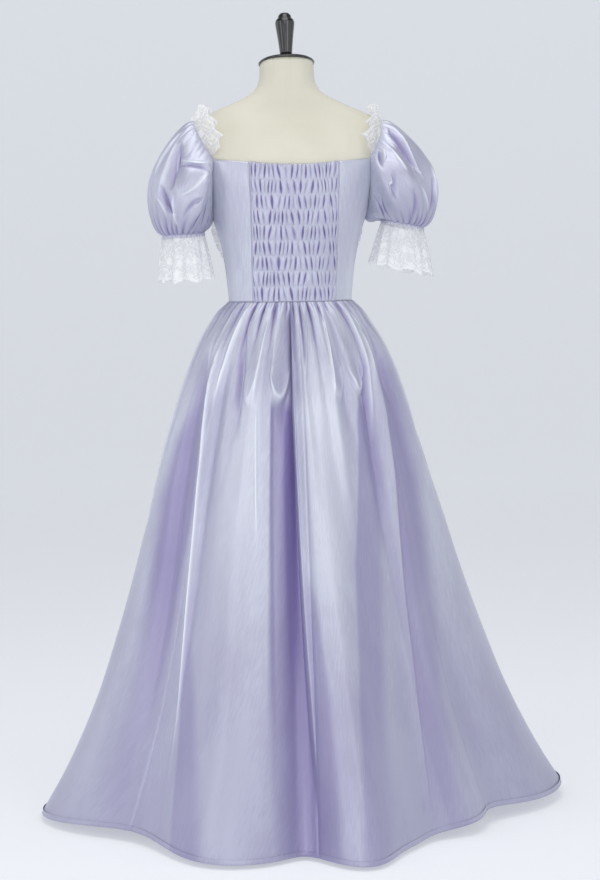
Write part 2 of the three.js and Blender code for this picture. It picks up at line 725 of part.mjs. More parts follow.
// The gores, from the middle of the back round by the wearer's right
const GORES = table("name from to", [
  ["skirt_back_right", 0, 56],
  ["skirt_side_right", 56, 116],
  ["skirt_front", 116, 244],
  ["skirt_side_left", 244, 304],
  ["skirt_back_left", 304, 360],
]);
const FINE_FALLS = [0, 0.03, 0.075, 0.14, 0.23];
const COARSE_FALLS = [0.34, 0.47, 0.61, 0.75, 0.88, 1];

function buildSkirt() {
  GORES.forEach(({ name, from, to }) => {
    const fineColumns = Math.round(((to - from) * GATHERS) / 180) * 2;
    const row = (fall, columns, inset) =>
      Array.from({ length: columns + 1 }, (_, i) => {
        const share = i / columns;
        const rough = mix(from, to, share);
        const radius = skirtBase(rough, mix(WAIST_Z, HEM_Z, fall));
        const gap = (SEAM / 2 / radius) * (180 / PI);
        return skirtPoint(mix(from + gap, to - gap, share), fall, inset);
      });
    const shell = (inset) => [
      ...FINE_FALLS.map((fall) => row(fall, fineColumns, inset)),
      ...COARSE_FALLS.map((fall) => row(fall, fineColumns / 2, inset)),
    ];
    add(name, wall(shell(0), shell(SKIRT_WALL)), satin);
  });
}

buildForm();
buildCap();
buildStand();
buildBodice();
SLEEVES.forEach((sleeve) => {
  buildSleeve(sleeve);
  buildCuffLace(sleeve);
});
buildFrills();
buildSkirt();

export default gown;
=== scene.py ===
import math

import bpy
import numpy as np
from mathutils import Matrix, Vector


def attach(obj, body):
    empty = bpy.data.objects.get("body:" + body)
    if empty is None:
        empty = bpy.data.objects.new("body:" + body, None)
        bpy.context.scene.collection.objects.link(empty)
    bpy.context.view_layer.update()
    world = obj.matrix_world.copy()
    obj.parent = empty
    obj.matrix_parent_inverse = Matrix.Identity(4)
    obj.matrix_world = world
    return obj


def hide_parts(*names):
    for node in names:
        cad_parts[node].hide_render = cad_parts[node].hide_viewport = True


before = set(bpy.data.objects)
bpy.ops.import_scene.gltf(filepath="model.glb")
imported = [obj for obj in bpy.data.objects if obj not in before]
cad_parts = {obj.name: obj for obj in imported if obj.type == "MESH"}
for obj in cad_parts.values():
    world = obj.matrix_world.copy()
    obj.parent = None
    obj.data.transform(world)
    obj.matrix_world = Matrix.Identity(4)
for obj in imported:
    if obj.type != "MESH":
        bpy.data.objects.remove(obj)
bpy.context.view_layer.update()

MM = 0.001

# Sizes in millimetres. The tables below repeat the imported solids' own sections.
CLOTH = 1.6
EASE = 1.1
FRONT_EASE = 1.8
HEM_Z = 8.0
WAIST_Z = 1004.0
BACK_NECK_Z = 1267.0
BACK_CORNER_Z = 1280.0
BACK_CORNER_TURN = 56.5
FRONT_NECK_Z = 1208.0
FRONT_CORNER_Z = 1240.0
FRONT_CORNER_TURN = 130
NECK_RIM_Z = 1458.0
NECK_TOP_Z = 1464.0
CAP_TILT = 12.0
FORM_ROUNDNESS = 2.2
GATHERS = 36
GATHER_DEPTH = 5.0
SHIRR_BANDS = 9
SHIRR_TOP_X = 86.0
SHIRR_WAIST_X = 79.0
SHIRR_COLUMNS = 400
BAND_ROWS = 19
BODICE_ROWS = 70
SEAM_TURN = 1.2
SLEEVE_COLUMNS = 440
SLEEVE_ROWS = 120
CUFF_LACE_ROWS = 26
SLEEVE_FOLDS = 9
CUFF_RADIUS = 41.0
CUFF_LACE_DROP = 90.0
CUFF_WAVES = 10
NECK_WAVES = 8
FRONT_WAVES = 7
FRONT_NECK_WAVES = 11


def table(names, rows):
    """A table's rows as one array for each column name."""
    columns = np.array(rows, dtype=float).T
    return dict(zip(names.split(), columns))


def curve(rows, key, name):
    """A smooth curve through one column of a table, read at a value of another column."""
    xs, ys = rows[key], rows[name]
    last = len(xs) - 1
    before = np.maximum(np.arange(len(xs)) - 1, 0)
    after = np.minimum(np.arange(len(xs)) + 1, last)
    slopes = (ys[after] - ys[before]) / (xs[after] - xs[before])

    def read(x):
        x = np.clip(np.asarray(x, dtype=float), xs[0], xs[-1])
        i = np.clip(np.searchsorted(xs, x, side="right") - 1, 0, last - 1)
        step = xs[i + 1] - xs[i]
        t = (x - xs[i]) / step
        rise = (ys[i + 1] - ys[i]) / step
        bend = (1 - t) * slopes[i] - t * slopes[i + 1] + (2 * t - 1) * rise
        return ys[i] + (ys[i + 1] - ys[i]) * t + t * (1 - t) * step * bend

    return read


def curves(rows, key, names):
    return [curve(rows, key, name) for name in names.split()]


def mix(a, b, share):
    return a + (b - a) * share


def smooth(share):
    share = np.clip(share, 0, 1)
    return share * share * (3 - 2 * share)


def between(value, start, end):
    return smooth((np.asarray(value, dtype=float) - start) / (end - start))


def bell(distance, width):
    return np.exp(-((distance / width) ** 2))


def peak(distance, width):
    """A ridge with a sharper top than a bell's."""
    return (1 + (distance / width) ** 2) ** -1.6


def turn_between(a, b):
    return (b - a + 180) % 360 - 180


def rad(degrees):
    return np.radians(degrees)


def stack(x, y, z):
    x, y, z = np.broadcast_arrays(x, y, z)
    return np.stack([x, y, z], axis=-1)


def unit(vectors):
    length = np.linalg.norm(vectors, axis=-1, keepdims=True)
    return vectors / np.maximum(length, 1e-9)


# The dress form's level sections
FORM = table("z halfWidth back front centre", [
    [700, 146, 100, 90, 0], [722, 160, 111, 95, 0], [762, 169, 118, 99, 0], [804, 172, 120, 100, 0],
    [846, 167, 114, 98, 0], [888, 156, 104, 94, 0], [930, 139, 93, 90, 0], [967, 124, 85, 86, 0],
    [1004, 117.5, 82, 84, 0], [1042, 120.5, 84, 89, 0], [1080, 125, 88, 99, 0], [1124, 133, 94, 115, 0],
    [1166, 146, 99, 123, 0], [1208, 157.5, 101, 117, 0], [1240, 167, 100, 106, 0], [1280, 179, 94, 90, -2],
    [1309, 187, 82, 76, -4], [1333, 190, 68, 62, -5], [1346, 188, 57, 53, -6], [1355, 182, 50, 48, -7],
    [1367, 158, 46, 46, -8], [1382, 124, 44, 47, -9], [1397, 90, 45, 49, -10], [1411, 67, 46, 51, -11],
    [1429, 55.5, 48, 51, -12], [1458, 52, 50, 50, -12],
])
form_half_width, form_back, form_front, form_centre = curves(FORM, "z", "halfWidth back front centre")
BUST_TURN, BUST_WIDTH, BUST_Z, BUST_HEIGHT, BUST_SWELL = 143, 24, 1168, 46, 13


def form_point(turn, z, out=0.0):
    """Points on the form's skin, or at a distance outside it. Turn 0 is the middle of the back."""
    turn, z = np.broadcast_arrays(np.asarray(turn, float), np.asarray(z, float))
    s, c = np.sin(rad(turn)), np.cos(rad(turn))
    near = np.minimum(np.abs(turn_between(BUST_TURN, turn)), np.abs(turn_between(-BUST_TURN, turn)))
    bust = BUST_SWELL * bell(near, BUST_WIDTH) * bell(z - BUST_Z, BUST_HEIGHT)
    depth = np.where(c >= 0, form_back(z), form_front(z) + bust) + out
    power = 2 / FORM_ROUNDNESS
    x = -(form_half_width(z) + out) * np.sign(s) * np.abs(s) ** power
    y = form_centre(z) + depth * np.sign(c) * np.abs(c) ** power
    return stack(x, y, z)


def turn_at(x, z, front=False):
    share = np.clip(x / form_half_width(z), 0, 1)
    turn = np.degrees(np.arcsin(share ** (FORM_ROUNDNESS / 2)))
    return 180 - turn if front else turn


def grid_mesh(name, points, closed=False, uv=None, flip=False):
    """A sheet of quads over rows of points in millimetres. Its UVs are lengths along it in metres."""
    rows, columns = points.shape[:2]
    index = np.arange(rows * columns).reshape(rows, columns)
    right = np.roll(index, -1, axis=1) if closed else index[:, 1:]
    left = index if closed else index[:, :-1]
    faces = np.stack([left[:-1], right[:-1], right[1:], left[1:]], axis=-1).reshape(-1, 4)
    if flip:
        faces = faces[:, ::-1]
    mesh = bpy.data.meshes.new(name)
    mesh.from_pydata((points.reshape(-1, 3) * MM).tolist(), [], faces.tolist())
    mesh.polygons.foreach_set("use_smooth", [True] * len(faces))
    if uv is None:
        ring = np.concatenate([points, points[:, :1]], axis=1) if closed else points
        across = np.linalg.norm(np.diff(ring, axis=1), axis=-1).cumsum(axis=1)
        down = np.linalg.norm(np.diff(points, axis=0), axis=-1).cumsum(axis=0)
        across = np.concatenate([np.zeros((rows, 1)), across], axis=1)
        down = np.concatenate([np.zeros((1, columns)), down], axis=0)
        if closed:
            down = np.concatenate([down, down[:, :1]], axis=1)
        uv = np.stack([across, down], axis=-1) * MM
    wide = uv.shape[1]
    corner = np.arange(rows * wide).reshape(rows, wide)
    u_left, u_right = corner[:, :-1], corner[:, 1:]
    uv_faces = np.stack([u_left[:-1], u_right[:-1], u_right[1:], u_left[1:]], axis=-1).reshape(-1, 4)
    if flip:
        uv_faces = uv_faces[:, ::-1]
    layer = mesh.uv_layers.new(name="cloth")
    layer.data.foreach_set("uv", uv.reshape(-1, 2)[uv_faces.reshape(-1)].reshape(-1))
    mesh.update()
    piece = bpy.data.objects.new(name, mesh)
    bpy.context.scene.collection.objects.link(piece)
    return piece


def joined(name, pieces):
    """Several meshes as one piece."""
    with bpy.context.temp_override(active_object=pieces[0], selected_editable_objects=pieces):
        bpy.ops.object.join()
    pieces[0].name = name
    pieces[0].data.name = name
    return pieces[0]


def attribute(piece, name, values):
    """One number for each point of a piece's grid, for its material to read."""
    layer = piece.data.attributes.new(name, "FLOAT", "POINT")
    layer.data.foreach_set("value", np.clip(values, 0, 1).astype(np.float32).ravel())


def finish_piece(piece, material, slot, *nodes):
    piece.data.materials.clear()
    piece.data.materials.append(material)
    if nodes:
        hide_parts(*nodes)
    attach(piece, "root")
    return piece


# Materials
def shader(name, **values):
    """A new material, its tree and its shader, with the values that are the same all over."""
    material = bpy.data.materials.new(name)
    material.use_nodes = True
    principled = material.node_tree.nodes["Principled BSDF"]
    for key, value in values.items():
        principled.inputs[key.replace("_", " ")].default_value = value
    return material, material.node_tree, principled


def node(tree, kind, **values):
    made = tree.nodes.new(kind)
    for key, value in values.items():
        key = key if hasattr(made, key) else key.replace("_", " ")
        if key in made.inputs:
            made.inputs[key].default_value = value
        else:
            setattr(made, key, value)
    return made


def noise_at(tree, vector, scale, detail=2.0, roughness=0.5):
    made = node(tree, "ShaderNodeTexNoise", Scale=scale, Detail=detail, Roughness=roughness)
    tree.links.new(vector, made.inputs["Vector"])
    return made.outputs["Fac"]


def stretched(tree, vector, scale):
    made = node(tree, "ShaderNodeMapping", Scale=scale)
    tree.links.new(vector, made.inputs["Vector"])
    return made.outputs["Vector"]


def ramp(tree, factor, stops):
    made = node(tree, "ShaderNodeValToRGB")
    elements = made.color_ramp.elements
    while len(elements) < len(stops):
        elements.new(0.5)
    for element, (position, color) in zip(elements, stops):
        element.position = position
        element.color = (*color, 1)
    tree.links.new(factor, made.inputs["Fac"])
    return made.outputs["Color"]


def bumps(tree, principled, *layers):
    """Bumps laid over each other, each with its height, its strength and its depth in metres."""
    normal = None
    for height, strength, distance in layers:
        bump = node(tree, "ShaderNodeBump", Strength=strength, Distance=distance)
        tree.links.new(height, bump.inputs["Height"])
        if normal:
            tree.links.new(normal, bump.inputs["Normal"])
        normal = bump.outputs["Normal"]
    tree.links.new(normal, principled.inputs["Normal"])


def mixed(tree, name, color, other):
    """A colour that turns into another one where the named attribute of the mesh is 1."""
    share = node(tree, "ShaderNodeAttribute", attribute_name=name).outputs["Fac"]
    made = node(tree, "ShaderNodeMix", data_type="RGBA")
    tree.links.new(share, made.inputs[0])
    tree.links.new(color, made.inputs[6])
    made.inputs[7].default_value = (*other, 1)
    return made.outputs[2]


def make_satin():
    """Lavender satin with fine streaks along the warp. Its colour also carries painted shade, deep purple in
    the hollows of the folds, and painted highlights, near white along their crests, each set by an attribute
    of the mesh.
    """
    material, tree, principled = shader(
        "lavender_satin_weave", Metallic=0.28, IOR=1.75, Specular_IOR_Level=0.8, Coat_Weight=0.06,
        Coat_Roughness=0.2, Sheen_Weight=0.3, Sheen_Roughness=0.45, Sheen_Tint=(0.84, 0.9, 1.0, 1.0),
    )
    cloth = node(tree, "ShaderNodeUVMap", uv_map="cloth").outputs["UV"]
    body = node(tree, "ShaderNodeTexCoord").outputs["Object"]
    tint = noise_at(tree, stretched(tree, body, (2.6, 2.6, 1.1)), 3.0, 3.0)
    streaks = noise_at(tree, stretched(tree, cloth, (330, 30, 1)), 1.0, 3.0, 0.65)
    grain = noise_at(tree, stretched(tree, cloth, (1100, 500, 1)), 1.0)
    soft = noise_at(tree, stretched(tree, cloth, (30, 9, 1)), 1.0)
    both = node(tree, "ShaderNodeMath", operation="MULTIPLY_ADD")
    tree.links.new(streaks, both.inputs[0])
    both.inputs[1].default_value = 0.8
    tree.links.new(tint, both.inputs[2])
    light = ramp(tree, both.outputs["Value"], [
        (0.62, (0.41, 0.405, 0.535)), (0.9, (0.475, 0.48, 0.595)), (1.15, (0.525, 0.54, 0.645)),
    ])
    # painted shade: deep purple mixed in where an attribute of the mesh is 1
    shade = mixed(tree, "painted_shade", light, (0.19, 0.15, 0.37))
    # painted highlight: near white mixed in where a second attribute of the mesh is 1
    tree.links.new(mixed(tree, "painted_highlight", shade, (0.84, 0.87, 0.93)), principled.inputs["Base Color"])
    rough = node(tree, "ShaderNodeMapRange", To_Min=0.32, To_Max=0.52)
    tree.links.new(streaks, rough.inputs["Value"])
    tree.links.new(rough.outputs["Result"], principled.inputs["Roughness"])
    bumps(tree, principled, (soft, 0.25, 0.005), (streaks, 0.5, 0.0008), (grain, 0.2, 0.0003))
    return material


def make_linen():
    material, tree, principled = shader("form_linen", Roughness=0.85, Sheen_Weight=0.15)
    body = node(tree, "ShaderNodeTexCoord").outputs["Object"]
    tint = noise_at(tree, body, 9.0, 3.0)
    color = ramp(tree, tint, [(0.3, (0.62, 0.595, 0.49)), (0.7, (0.67, 0.645, 0.54))])
    tree.links.new(color, principled.inputs["Base Color"])
    both = node(tree, "ShaderNodeMath", operation="ADD")
    for threads, socket in zip(((900, 900, 160), (160, 160, 900)), both.inputs):
        tree.links.new(noise_at(tree, stretched(tree, body, threads), 1.0), socket)
    bumps(tree, principled, (both.outputs["Value"], 0.25, 0.0006))
    return material


def make_paint(name, scale, detail, dark, light, strength, distance, **values):
    """A hard dark finish whose colour and bump follow one fine grain."""
    material, tree, principled = shader(name, **values)
    body = node(tree, "ShaderNodeTexCoord").outputs["Object"]
    grain = noise_at(tree, stretched(tree, body, scale), 1.0, detail)
    tree.links.new(ramp(tree, grain, [(0.3, dark), (0.8, light)]), principled.inputs["Base Color"])
    bumps(tree, principled, (grain, strength, distance))
    return material


def make_lace():
    """White net with flower sprigs and a corded rim. The rim attribute is 1 along the free edge."""
    material, tree, principled = shader("white_lace_net", Roughness=0.75, Sheen_Weight=0.2)
    cloth = node(tree, "ShaderNodeUVMap", uv_map="cloth").outputs["UV"]
    rim = node(tree, "ShaderNodeAttribute", attribute_name="rim").outputs["Fac"]
    links = tree.links

    def math_node(operation, a, b, clamp=False):
        made = node(tree, "ShaderNodeMath", operation=operation, use_clamp=clamp)
        links.new(a, made.inputs[0])
        if isinstance(b, float):
            made.inputs[1].default_value = b
        else:
            links.new(b, made.inputs[1])
        return made.outputs["Value"]

    def cells(vector, scale, randomness, start, end, feature="DISTANCE_TO_EDGE"):
        """A pattern of cells, which fades in from one distance to another."""
        made = node(tree, "ShaderNodeTexVoronoi", feature=feature, Scale=1.0, Randomness=randomness)
        links.new(stretched(tree, vector, scale), made.inputs["Vector"])
        fade = node(tree, "ShaderNodeMapRange", interpolation_type="SMOOTHSTEP", From_Min=start, From_Max=end)
        links.new(made.outputs["Distance"], fade.inputs["Value"])
        return fade.outputs["Result"]

    warp = node(tree, "ShaderNodeTexNoise", Scale=1.0, Detail=2.0, Roughness=0.5)
    links.new(stretched(tree, cloth, (130, 130, 1)), warp.inputs["Vector"])
    shift = node(tree, "ShaderNodeVectorMath", operation="MULTIPLY_ADD")
    links.new(warp.outputs["Color"], shift.inputs[0])
    shift.inputs[1].default_value = (0.014, 0.014, 0)
    links.new(cloth, shift.inputs[2])
    shifted = shift.outputs["Vector"]
    flower = cells(shifted, (42, 38, 1), 0.55, 0.42, 0.3, "F1")
    stem = cells(shifted, (95, 80, 1), 1.0, 0.08, 0.03)
    net = cells(cloth, (620, 620, 1), 0.1, 0.2, 0.08)
    pattern = math_node("MULTIPLY", flower, 0.3)
    for part, share in ((stem, 0.24), (net, 0.14), (rim, 0.26)):
        pattern = math_node("MAXIMUM", pattern, math_node("MULTIPLY", part, share))
    links.new(math_node("ADD", pattern, 0.46, clamp=True), principled.inputs["Alpha"])
    color = ramp(tree, pattern, [(0.0, (0.86, 0.86, 0.87)), (0.5, (0.95, 0.95, 0.95))])
    links.new(color, principled.inputs["Base Color"])
    bumps(tree, principled, (pattern, 0.4, 0.0006))
    return material


SATIN = make_satin()
LINEN = make_linen()
LACQUER = make_paint(
    "black_lacquer_wood", (260, 260, 18), 3.0, (0.006, 0.006, 0.007), (0.02, 0.019, 0.02), 0.08, 0.0005,
    Roughness=0.22, Coat_Weight=0.5, Coat_Roughness=0.12,
)
STEEL = make_paint(
    "black_painted_steel", (420, 420, 420), 2.0, (0.018, 0.018, 0.02), (0.035, 0.035, 0.038), 0.15, 0.0004,
    Roughness=0.38, Metallic=0.3,
)
LACE_NET = make_lace()


# The form: torso, neck cap, handle, pole and foot
def lathe(name, outline, segments, matrix=None):
    outline = np.array(outline, dtype=float)
    turns = np.radians(np.arange(segments) * 360 / segments)
    r, z = outline[:, :1], outline[:, 1:]
    points = stack(r * np.cos(turns), r * np.sin(turns), z + 0 * turns)
    if matrix is not None:
        points = points @ matrix[0].T + matrix[1]
    return grid_mesh(name, points, closed=True)


def rounded(outline, corner=1.2):
    """An outline's corners, softened by points a short way before and after each."""
    outline = np.array(outline, dtype=float)
    made = [outline[0]]
    for before, here, after in zip(outline, outline[1:], outline[2:]):
        for other, share in ((before, 1.0), (before, 0.2625), (after, 0.2625), (after, 1.0)):
            length = np.linalg.norm(other - here)
            made.append(here + (other - here) * min(0.45, corner * share / length))
    made.append(outline[-1])
    return made


def build_form():
    turns = np.arange(0, 360, 2.5)
    heights = np.concatenate([np.arange(701, 1458, 8.0), [1458]])
    z = heights[:, None]
    seam = sum(bell(turn_between(t, turns), 0.8) for t in (0, 180, 90, -90))
    princess_turns = np.where(z > 1004, 44 - 8 * (z - 1004) / 400, 44)
    for side in (-1, 1):
        for middle in (0, 180):
            seam = seam + bell(turn_between(middle + side * princess_turns, turns[None, :]), 0.9)
    points = form_point(turns[None, :], z, -0.9 * np.minimum(seam, 1))
    neck = between(z, 1429, NECK_RIM_Z)
    slope = (points[..., 1] - form_centre(NECK_RIM_Z)) * math.tan(math.radians(CAP_TILT))
    points[..., 2] += neck * (slope + NECK_TOP_Z - NECK_RIM_Z)
    middle = np.array([0, 0, 700.5]) + 0 * points[:1]
    inner = points[:1] * np.array([0.96, 0.96, 1]) + np.array([0, 0, -0.6])
    top = np.array([0, float(form_centre(NECK_RIM_Z)), NECK_TOP_Z]) + 0 * points[:1]
    points = np.concatenate([middle, inner, points, top])
    finish_piece(grid_mesh("torso_cover", points, closed=True, flip=True), LINEN, "linen_cover", "form_torso")

    tilt = math.radians(CAP_TILT)
    turn = np.array([[1, 0, 0], [0, math.cos(tilt), -math.sin(tilt)], [0, math.sin(tilt), math.cos(tilt)]])
    place = np.array([0, float(form_centre(NECK_RIM_Z)), NECK_TOP_Z])
    lathed = [
        ("neck_cap", LACQUER, "black_lacquer", "form_neck_cap", 96, (turn, place),
         [[0.01, 0.3], [54, 0.3], [55, 3], [52, 6], [40, 9.5], [22, 11.6], [12, 12], [0.01, 12]]),
        ("turned_handle", LACQUER, "black_lacquer", "form_finial", 64, (turn, place),
         [[0.01, 12.3], [9, 12.3], [9, 19], [12, 22], [13.5, 38], [16, 60], [18.5, 78], [19, 84],
          [17.5, 89], [14, 92], [12.5, 98], [9, 102], [0.01, 103]]),
        ("stand_foot_disc", STEEL, "black_steel", "stand_foot", 128, None,
         [[0.01, 0], [190, 0], [190, 7], [186, 10], [120, 15], [60, 20], [38, 24], [34, 28], [28, 43],
          [25, 46], [0.01, 46]]),
        ("stand_pole_tube", STEEL, "black_steel", "stand_pole", 64, None,
         [[0.01, 46.3], [16, 46.3], [16, 687.7], [42, 692.7], [42, 699.7], [0.01, 699.7]]),
    ]
    for name, material, slot, node_name, segments, where, outline in lathed:
        finish_piece(lathe(name, rounded(outline), segments, where), material, slot, node_name)


# The sleeve head's path on the form, and the bodice's seams
SLEEVE_HEAD = table("along turn z", [
    [0, 90, 1355], [0.04, 80, 1353], [0.1, 70, 1338], [0.17, 62.5, 1311], [0.25, 56.5, 1280],
    [0.32, 61, 1254], [0.38, 67, 1226], [0.44, 76.5, 1194], [0.5, 90, 1166], [0.56, 104, 1181],
    [0.62, 114, 1200], [0.69, 123, 1220], [0.75, 130, 1240], [0.83, 122, 1282], [0.9, 112, 1324],
    [0.96, 100, 1350], [1, 90, 1355],
])
head_turn, head_z = curves(SLEEVE_HEAD, "along", "turn z")
PRINCESS = table("z x", [[1004, 55], [1060, 80], [1110, 98], [1166, 110], [1210, 117], [1240, 121]])
princess_x = curve(PRINCESS, "z", "x")


def princess(z):
    return turn_at(princess_x(z), z, True)


def back_seam(z):
    share = (z - WAIST_Z) / (BACK_CORNER_Z - WAIST_Z)
    return turn_at(mix(SHIRR_WAIST_X, SHIRR_TOP_X, share), z)


def back_neck(across):
    return BACK_NECK_Z + 6 * (2 * across - 1) ** 2


def front_neck(across):
    return mix(FRONT_NECK_Z, FRONT_CORNER_Z - 4, smooth(np.abs(2 * across - 1)))


def mirrored(points, side):
    return points * np.array([side, 1, 1])


def with_edges(points, depth):
    """A sheet with a narrow allowance turned straight in along its four edges, which closes the seams."""
    du = np.gradient(points, axis=1)
    dv = np.gradient(points, axis=0)
    normal = unit(np.cross(du, dv))
    outward = np.sign((normal * (points - points.mean(axis=(0, 1)) * np.array([0, 0, 1]))).sum())
    wide = np.pad(points, ((1, 1), (1, 1), (0, 0)), mode="edge")
    turned = np.pad(np.zeros(points.shape[:2]), 1, constant_values=depth)
    return wide - np.pad(normal, ((1, 1), (1, 1), (0, 0)), mode="edge") * outward * turned[..., None]


SHIRR_ROWS = table("puckers shift", [
    [9, 0.1], [9.5, 0.55], [9, 0.2], [9.5, 0.8], [9, 0.45], [9.5, 0.95], [9, 0.3], [9.5, 0.7], [10, 0.05],
])
# Small differences between the puckers of one band, worked out by sine waves of its own
SHIRR_WOBBLE = table("first second", [
    [0.2, 1.4], [1.1, 0.3], [2.3, 2], [0.7, 0.9], [1.9, 2.6], [2.8, 1.2], [0.4, 2.2], [1.5, 0.1], [2.1, 1.7],
])


def shirring(across, up):
    """How far the shirred cloth stands out, with slits between the puffs of each band, and its painted shade:
    darker in the slits, and a little darker all over.
    """
    band = np.minimum(SHIRR_BANDS - 1, np.floor(up * SHIRR_BANDS + 1e-9)).astype(int)
    within = np.clip(up * SHIRR_BANDS - band, 0, 1)
    puff = np.sin(math.pi * within)
    first = SHIRR_WOBBLE["first"][band]
    second = SHIRR_WOBBLE["second"][band]
    wander = 0.35 * np.sin(9.5 * across + 3 * first) + 0.2 * np.sin(23 * across + 4 * second)
    lean = 0.5 * (within - 0.5) * np.sin(17 * across + 5 * second)
    phase = 2 * SHIRR_ROWS["puckers"][band] * across + SHIRR_ROWS["shift"][band] + wander + lean
    number = np.round(phase)
    from_slit = np.abs(phase - number)
    depth = 0.6 + 0.4 * np.sin(number * 2.4 + 5 * first)
    round_puff = (1 - (1 - 2 * from_slit) ** 2) ** 0.5
    slit = np.exp(-(from_slit / (0.06 + 0.1 * puff)) ** 2) * depth
    facet = 0.4 * np.sin(2 * math.pi * (phase * 0.95 + 0.7 * within) + 4 * first) * puff
    crinkle = 0.35 * np.cos(2 * math.pi * 2 * phase + 6 * second) * (1 - puff) ** 2
    relief = 1.7 + (0.5 + 1.3 * puff ** 0.7) * round_puff + facet + crinkle - 1.9 * puff ** 0.6 * slit
    row = 0.35 * np.exp(-(np.minimum(within, 1 - within) / 0.07) ** 2)
    heading = between(up, 0.985, 1)
    sides = between(across, 0, 0.03) * between(across, 1, 0.97)
    # painted shade: darker in the slits between the puffs, and a little darker over the whole panel
    shade = 0.12 + 1.3 * slit * (0.25 + 0.75 * puff ** 0.6) + 0.25 * (1 - round_puff) * puff
    return (relief - row - heading) * sides, shade * sides


def tension(turn, z):
    """Slight pulls across the smooth panels."""
    pull = np.sin(0.09 * z + 0.11 * turn) * 0.22 + np.sin(0.031 * z - 0.19 * turn + 1.2) * 0.35
    return pull * between(z, WAIST_Z, WAIST_Z + 30)


def bodice_sheet(name, turns, top, ease, side, node_name):
    """A smooth panel from the waist to its top edge."""
    z = mix(WAIST_Z, top, np.linspace(0, 1, BODICE_ROWS)[:, None])
    turn = turns(z)
    points = mirrored(form_point(turn, z, ease + CLOTH + tension(turn, z)), side)
    piece = grid_mesh(name, with_edges(points, SEAM_TURN), flip=side < 0)
    finish_piece(piece, SATIN, "lavender_satin", node_name)
    return piece


def build_bodice():
    share = np.linspace(0, 1, SHIRR_COLUMNS)[None, :]
    up = np.linspace(0, 1, SHIRR_BANDS * BAND_ROWS + 1)[:, None]
    z = mix(WAIST_Z, back_neck(share), up)
    seam = back_seam(z)
    relief, shade = shirring(share + 0 * up, up + 0 * share)
    points = form_point(mix(-seam, seam, share), z, EASE + CLOTH + relief)
    # the top row of elastic draws the edge into small scallops
    points[..., 2] += 1.3 * np.cos(2 * math.pi * 24 * share) * between(up, 0.93, 1)
    casing = grid_mesh("back_shirring", with_edges(points, SEAM_TURN), flip=True)
    # the shirring's painted shade, for the satin's colour
    attribute(casing, "painted_shade", np.pad(shade, 1, mode="edge"))
    finish_piece(casing, SATIN, "lavender_satin", "bodice_back_shirred")

    across = np.linspace(0, 1, 80)[None, :]
    bodice_sheet(
        "front_panel", lambda z: mix(princess(z), 360 - princess(z), across), front_neck(across),
        FRONT_EASE, 1, "bodice_front",
    )
    along = np.linspace(0, 1, 60)[None, :]
    # the back side panel: along the neckline to its corner, then down the armhole
    corner = 3 / 11
    before = np.clip(along / corner, 0, 1)
    arm_share = mix(0.25, 0.5, np.clip((along - corner) / (1 - corner), 0, 1))
    back_top = np.where(along < corner, mix(BACK_NECK_Z + 6, BACK_CORNER_Z, before), head_z(arm_share))
    # the front side panel: up the armhole to its corner, then along to the princess seam
    corner_front = 8 / 10
    front_share = mix(0.5, 0.75, np.clip(along / corner_front, 0, 1))
    after = np.clip((along - corner_front) / (1 - corner_front), 0, 1)
    front_top = np.where(along > corner_front, FRONT_CORNER_Z, head_z(front_share))

    def back_turns(z):
        corner_turns = mix(back_seam(z) + 0.12, BACK_CORNER_TURN, before)
        return np.where(along < corner, corner_turns, head_turn(arm_share))

    def front_turns(z):
        corner_turns = mix(FRONT_CORNER_TURN, princess(z) - 0.12, after)
        return np.where(along > corner_front, corner_turns, head_turn(front_share))

    for label, side, highlight_share in (("left", -1, 0.22), ("right", 1, 0.42)):
        panel = bodice_sheet(
            "back_side_panel_" + label, back_turns, back_top - 0.9, EASE, side, "bodice_back_" + label,
        )
        # painted highlight: a broad bright band down the middle of each back side panel, brightest at the
        # waist and stronger on the right panel
        painted_glow = highlight_share * bell(along - 0.55, 0.4) * np.linspace(1, 0.7, BODICE_ROWS)[:, None]
        attribute(panel, "painted_highlight", np.pad(painted_glow, 1, mode="edge"))
        bodice_sheet(
            "front_side_panel_" + label, front_turns, front_top - 0.9,
            FRONT_EASE, side, "bodice_side_front_" + label,
        )


# The sleeves
SLEEVES = [
    {"name": "left", "side": -1, "puff": 50, "cuffX": 208, "cuffZ": 1137,
     "tilt": 4, "lace": 51, "front": 0.8, "laceCut": 0.42},
    {"name": "right", "side": 1, "puff": 60, "cuffX": 224, "cuffZ": 1152,
     "tilt": 12, "lace": 60, "front": 1.2, "laceCut": 0.46},
]
PUFF_OUT = table("along out", [
    [0, 1], [0.12, 0.96], [0.25, 0.96], [0.38, 0.62], [0.5, 0.22], [0.62, 0.55], [0.75, 0.9], [0.88, 0.95],
    [1, 1],
])
puff_out = curve(PUFF_OUT, "along", "out")


def sleeve_head(along):
    share = along - np.floor(along)
    in_front = between(share, 0.5, 0.53) * between(share, 0.85, 0.78)
    return form_point(head_turn(share), head_z(share), CLOTH + mix(EASE, FRONT_EASE, in_front))


def cuff_point(sleeve, along, radius=CUFF_RADIUS, drop=0.0):
    outward = np.cos(2 * math.pi * along) * radius
    back = np.sin(2 * math.pi * along) * radius
    slope = math.tan(math.radians(sleeve["tilt"])) * outward
    return stack(-(sleeve["cuffX"] + outward), back, sleeve["cuffZ"] - slope - drop)


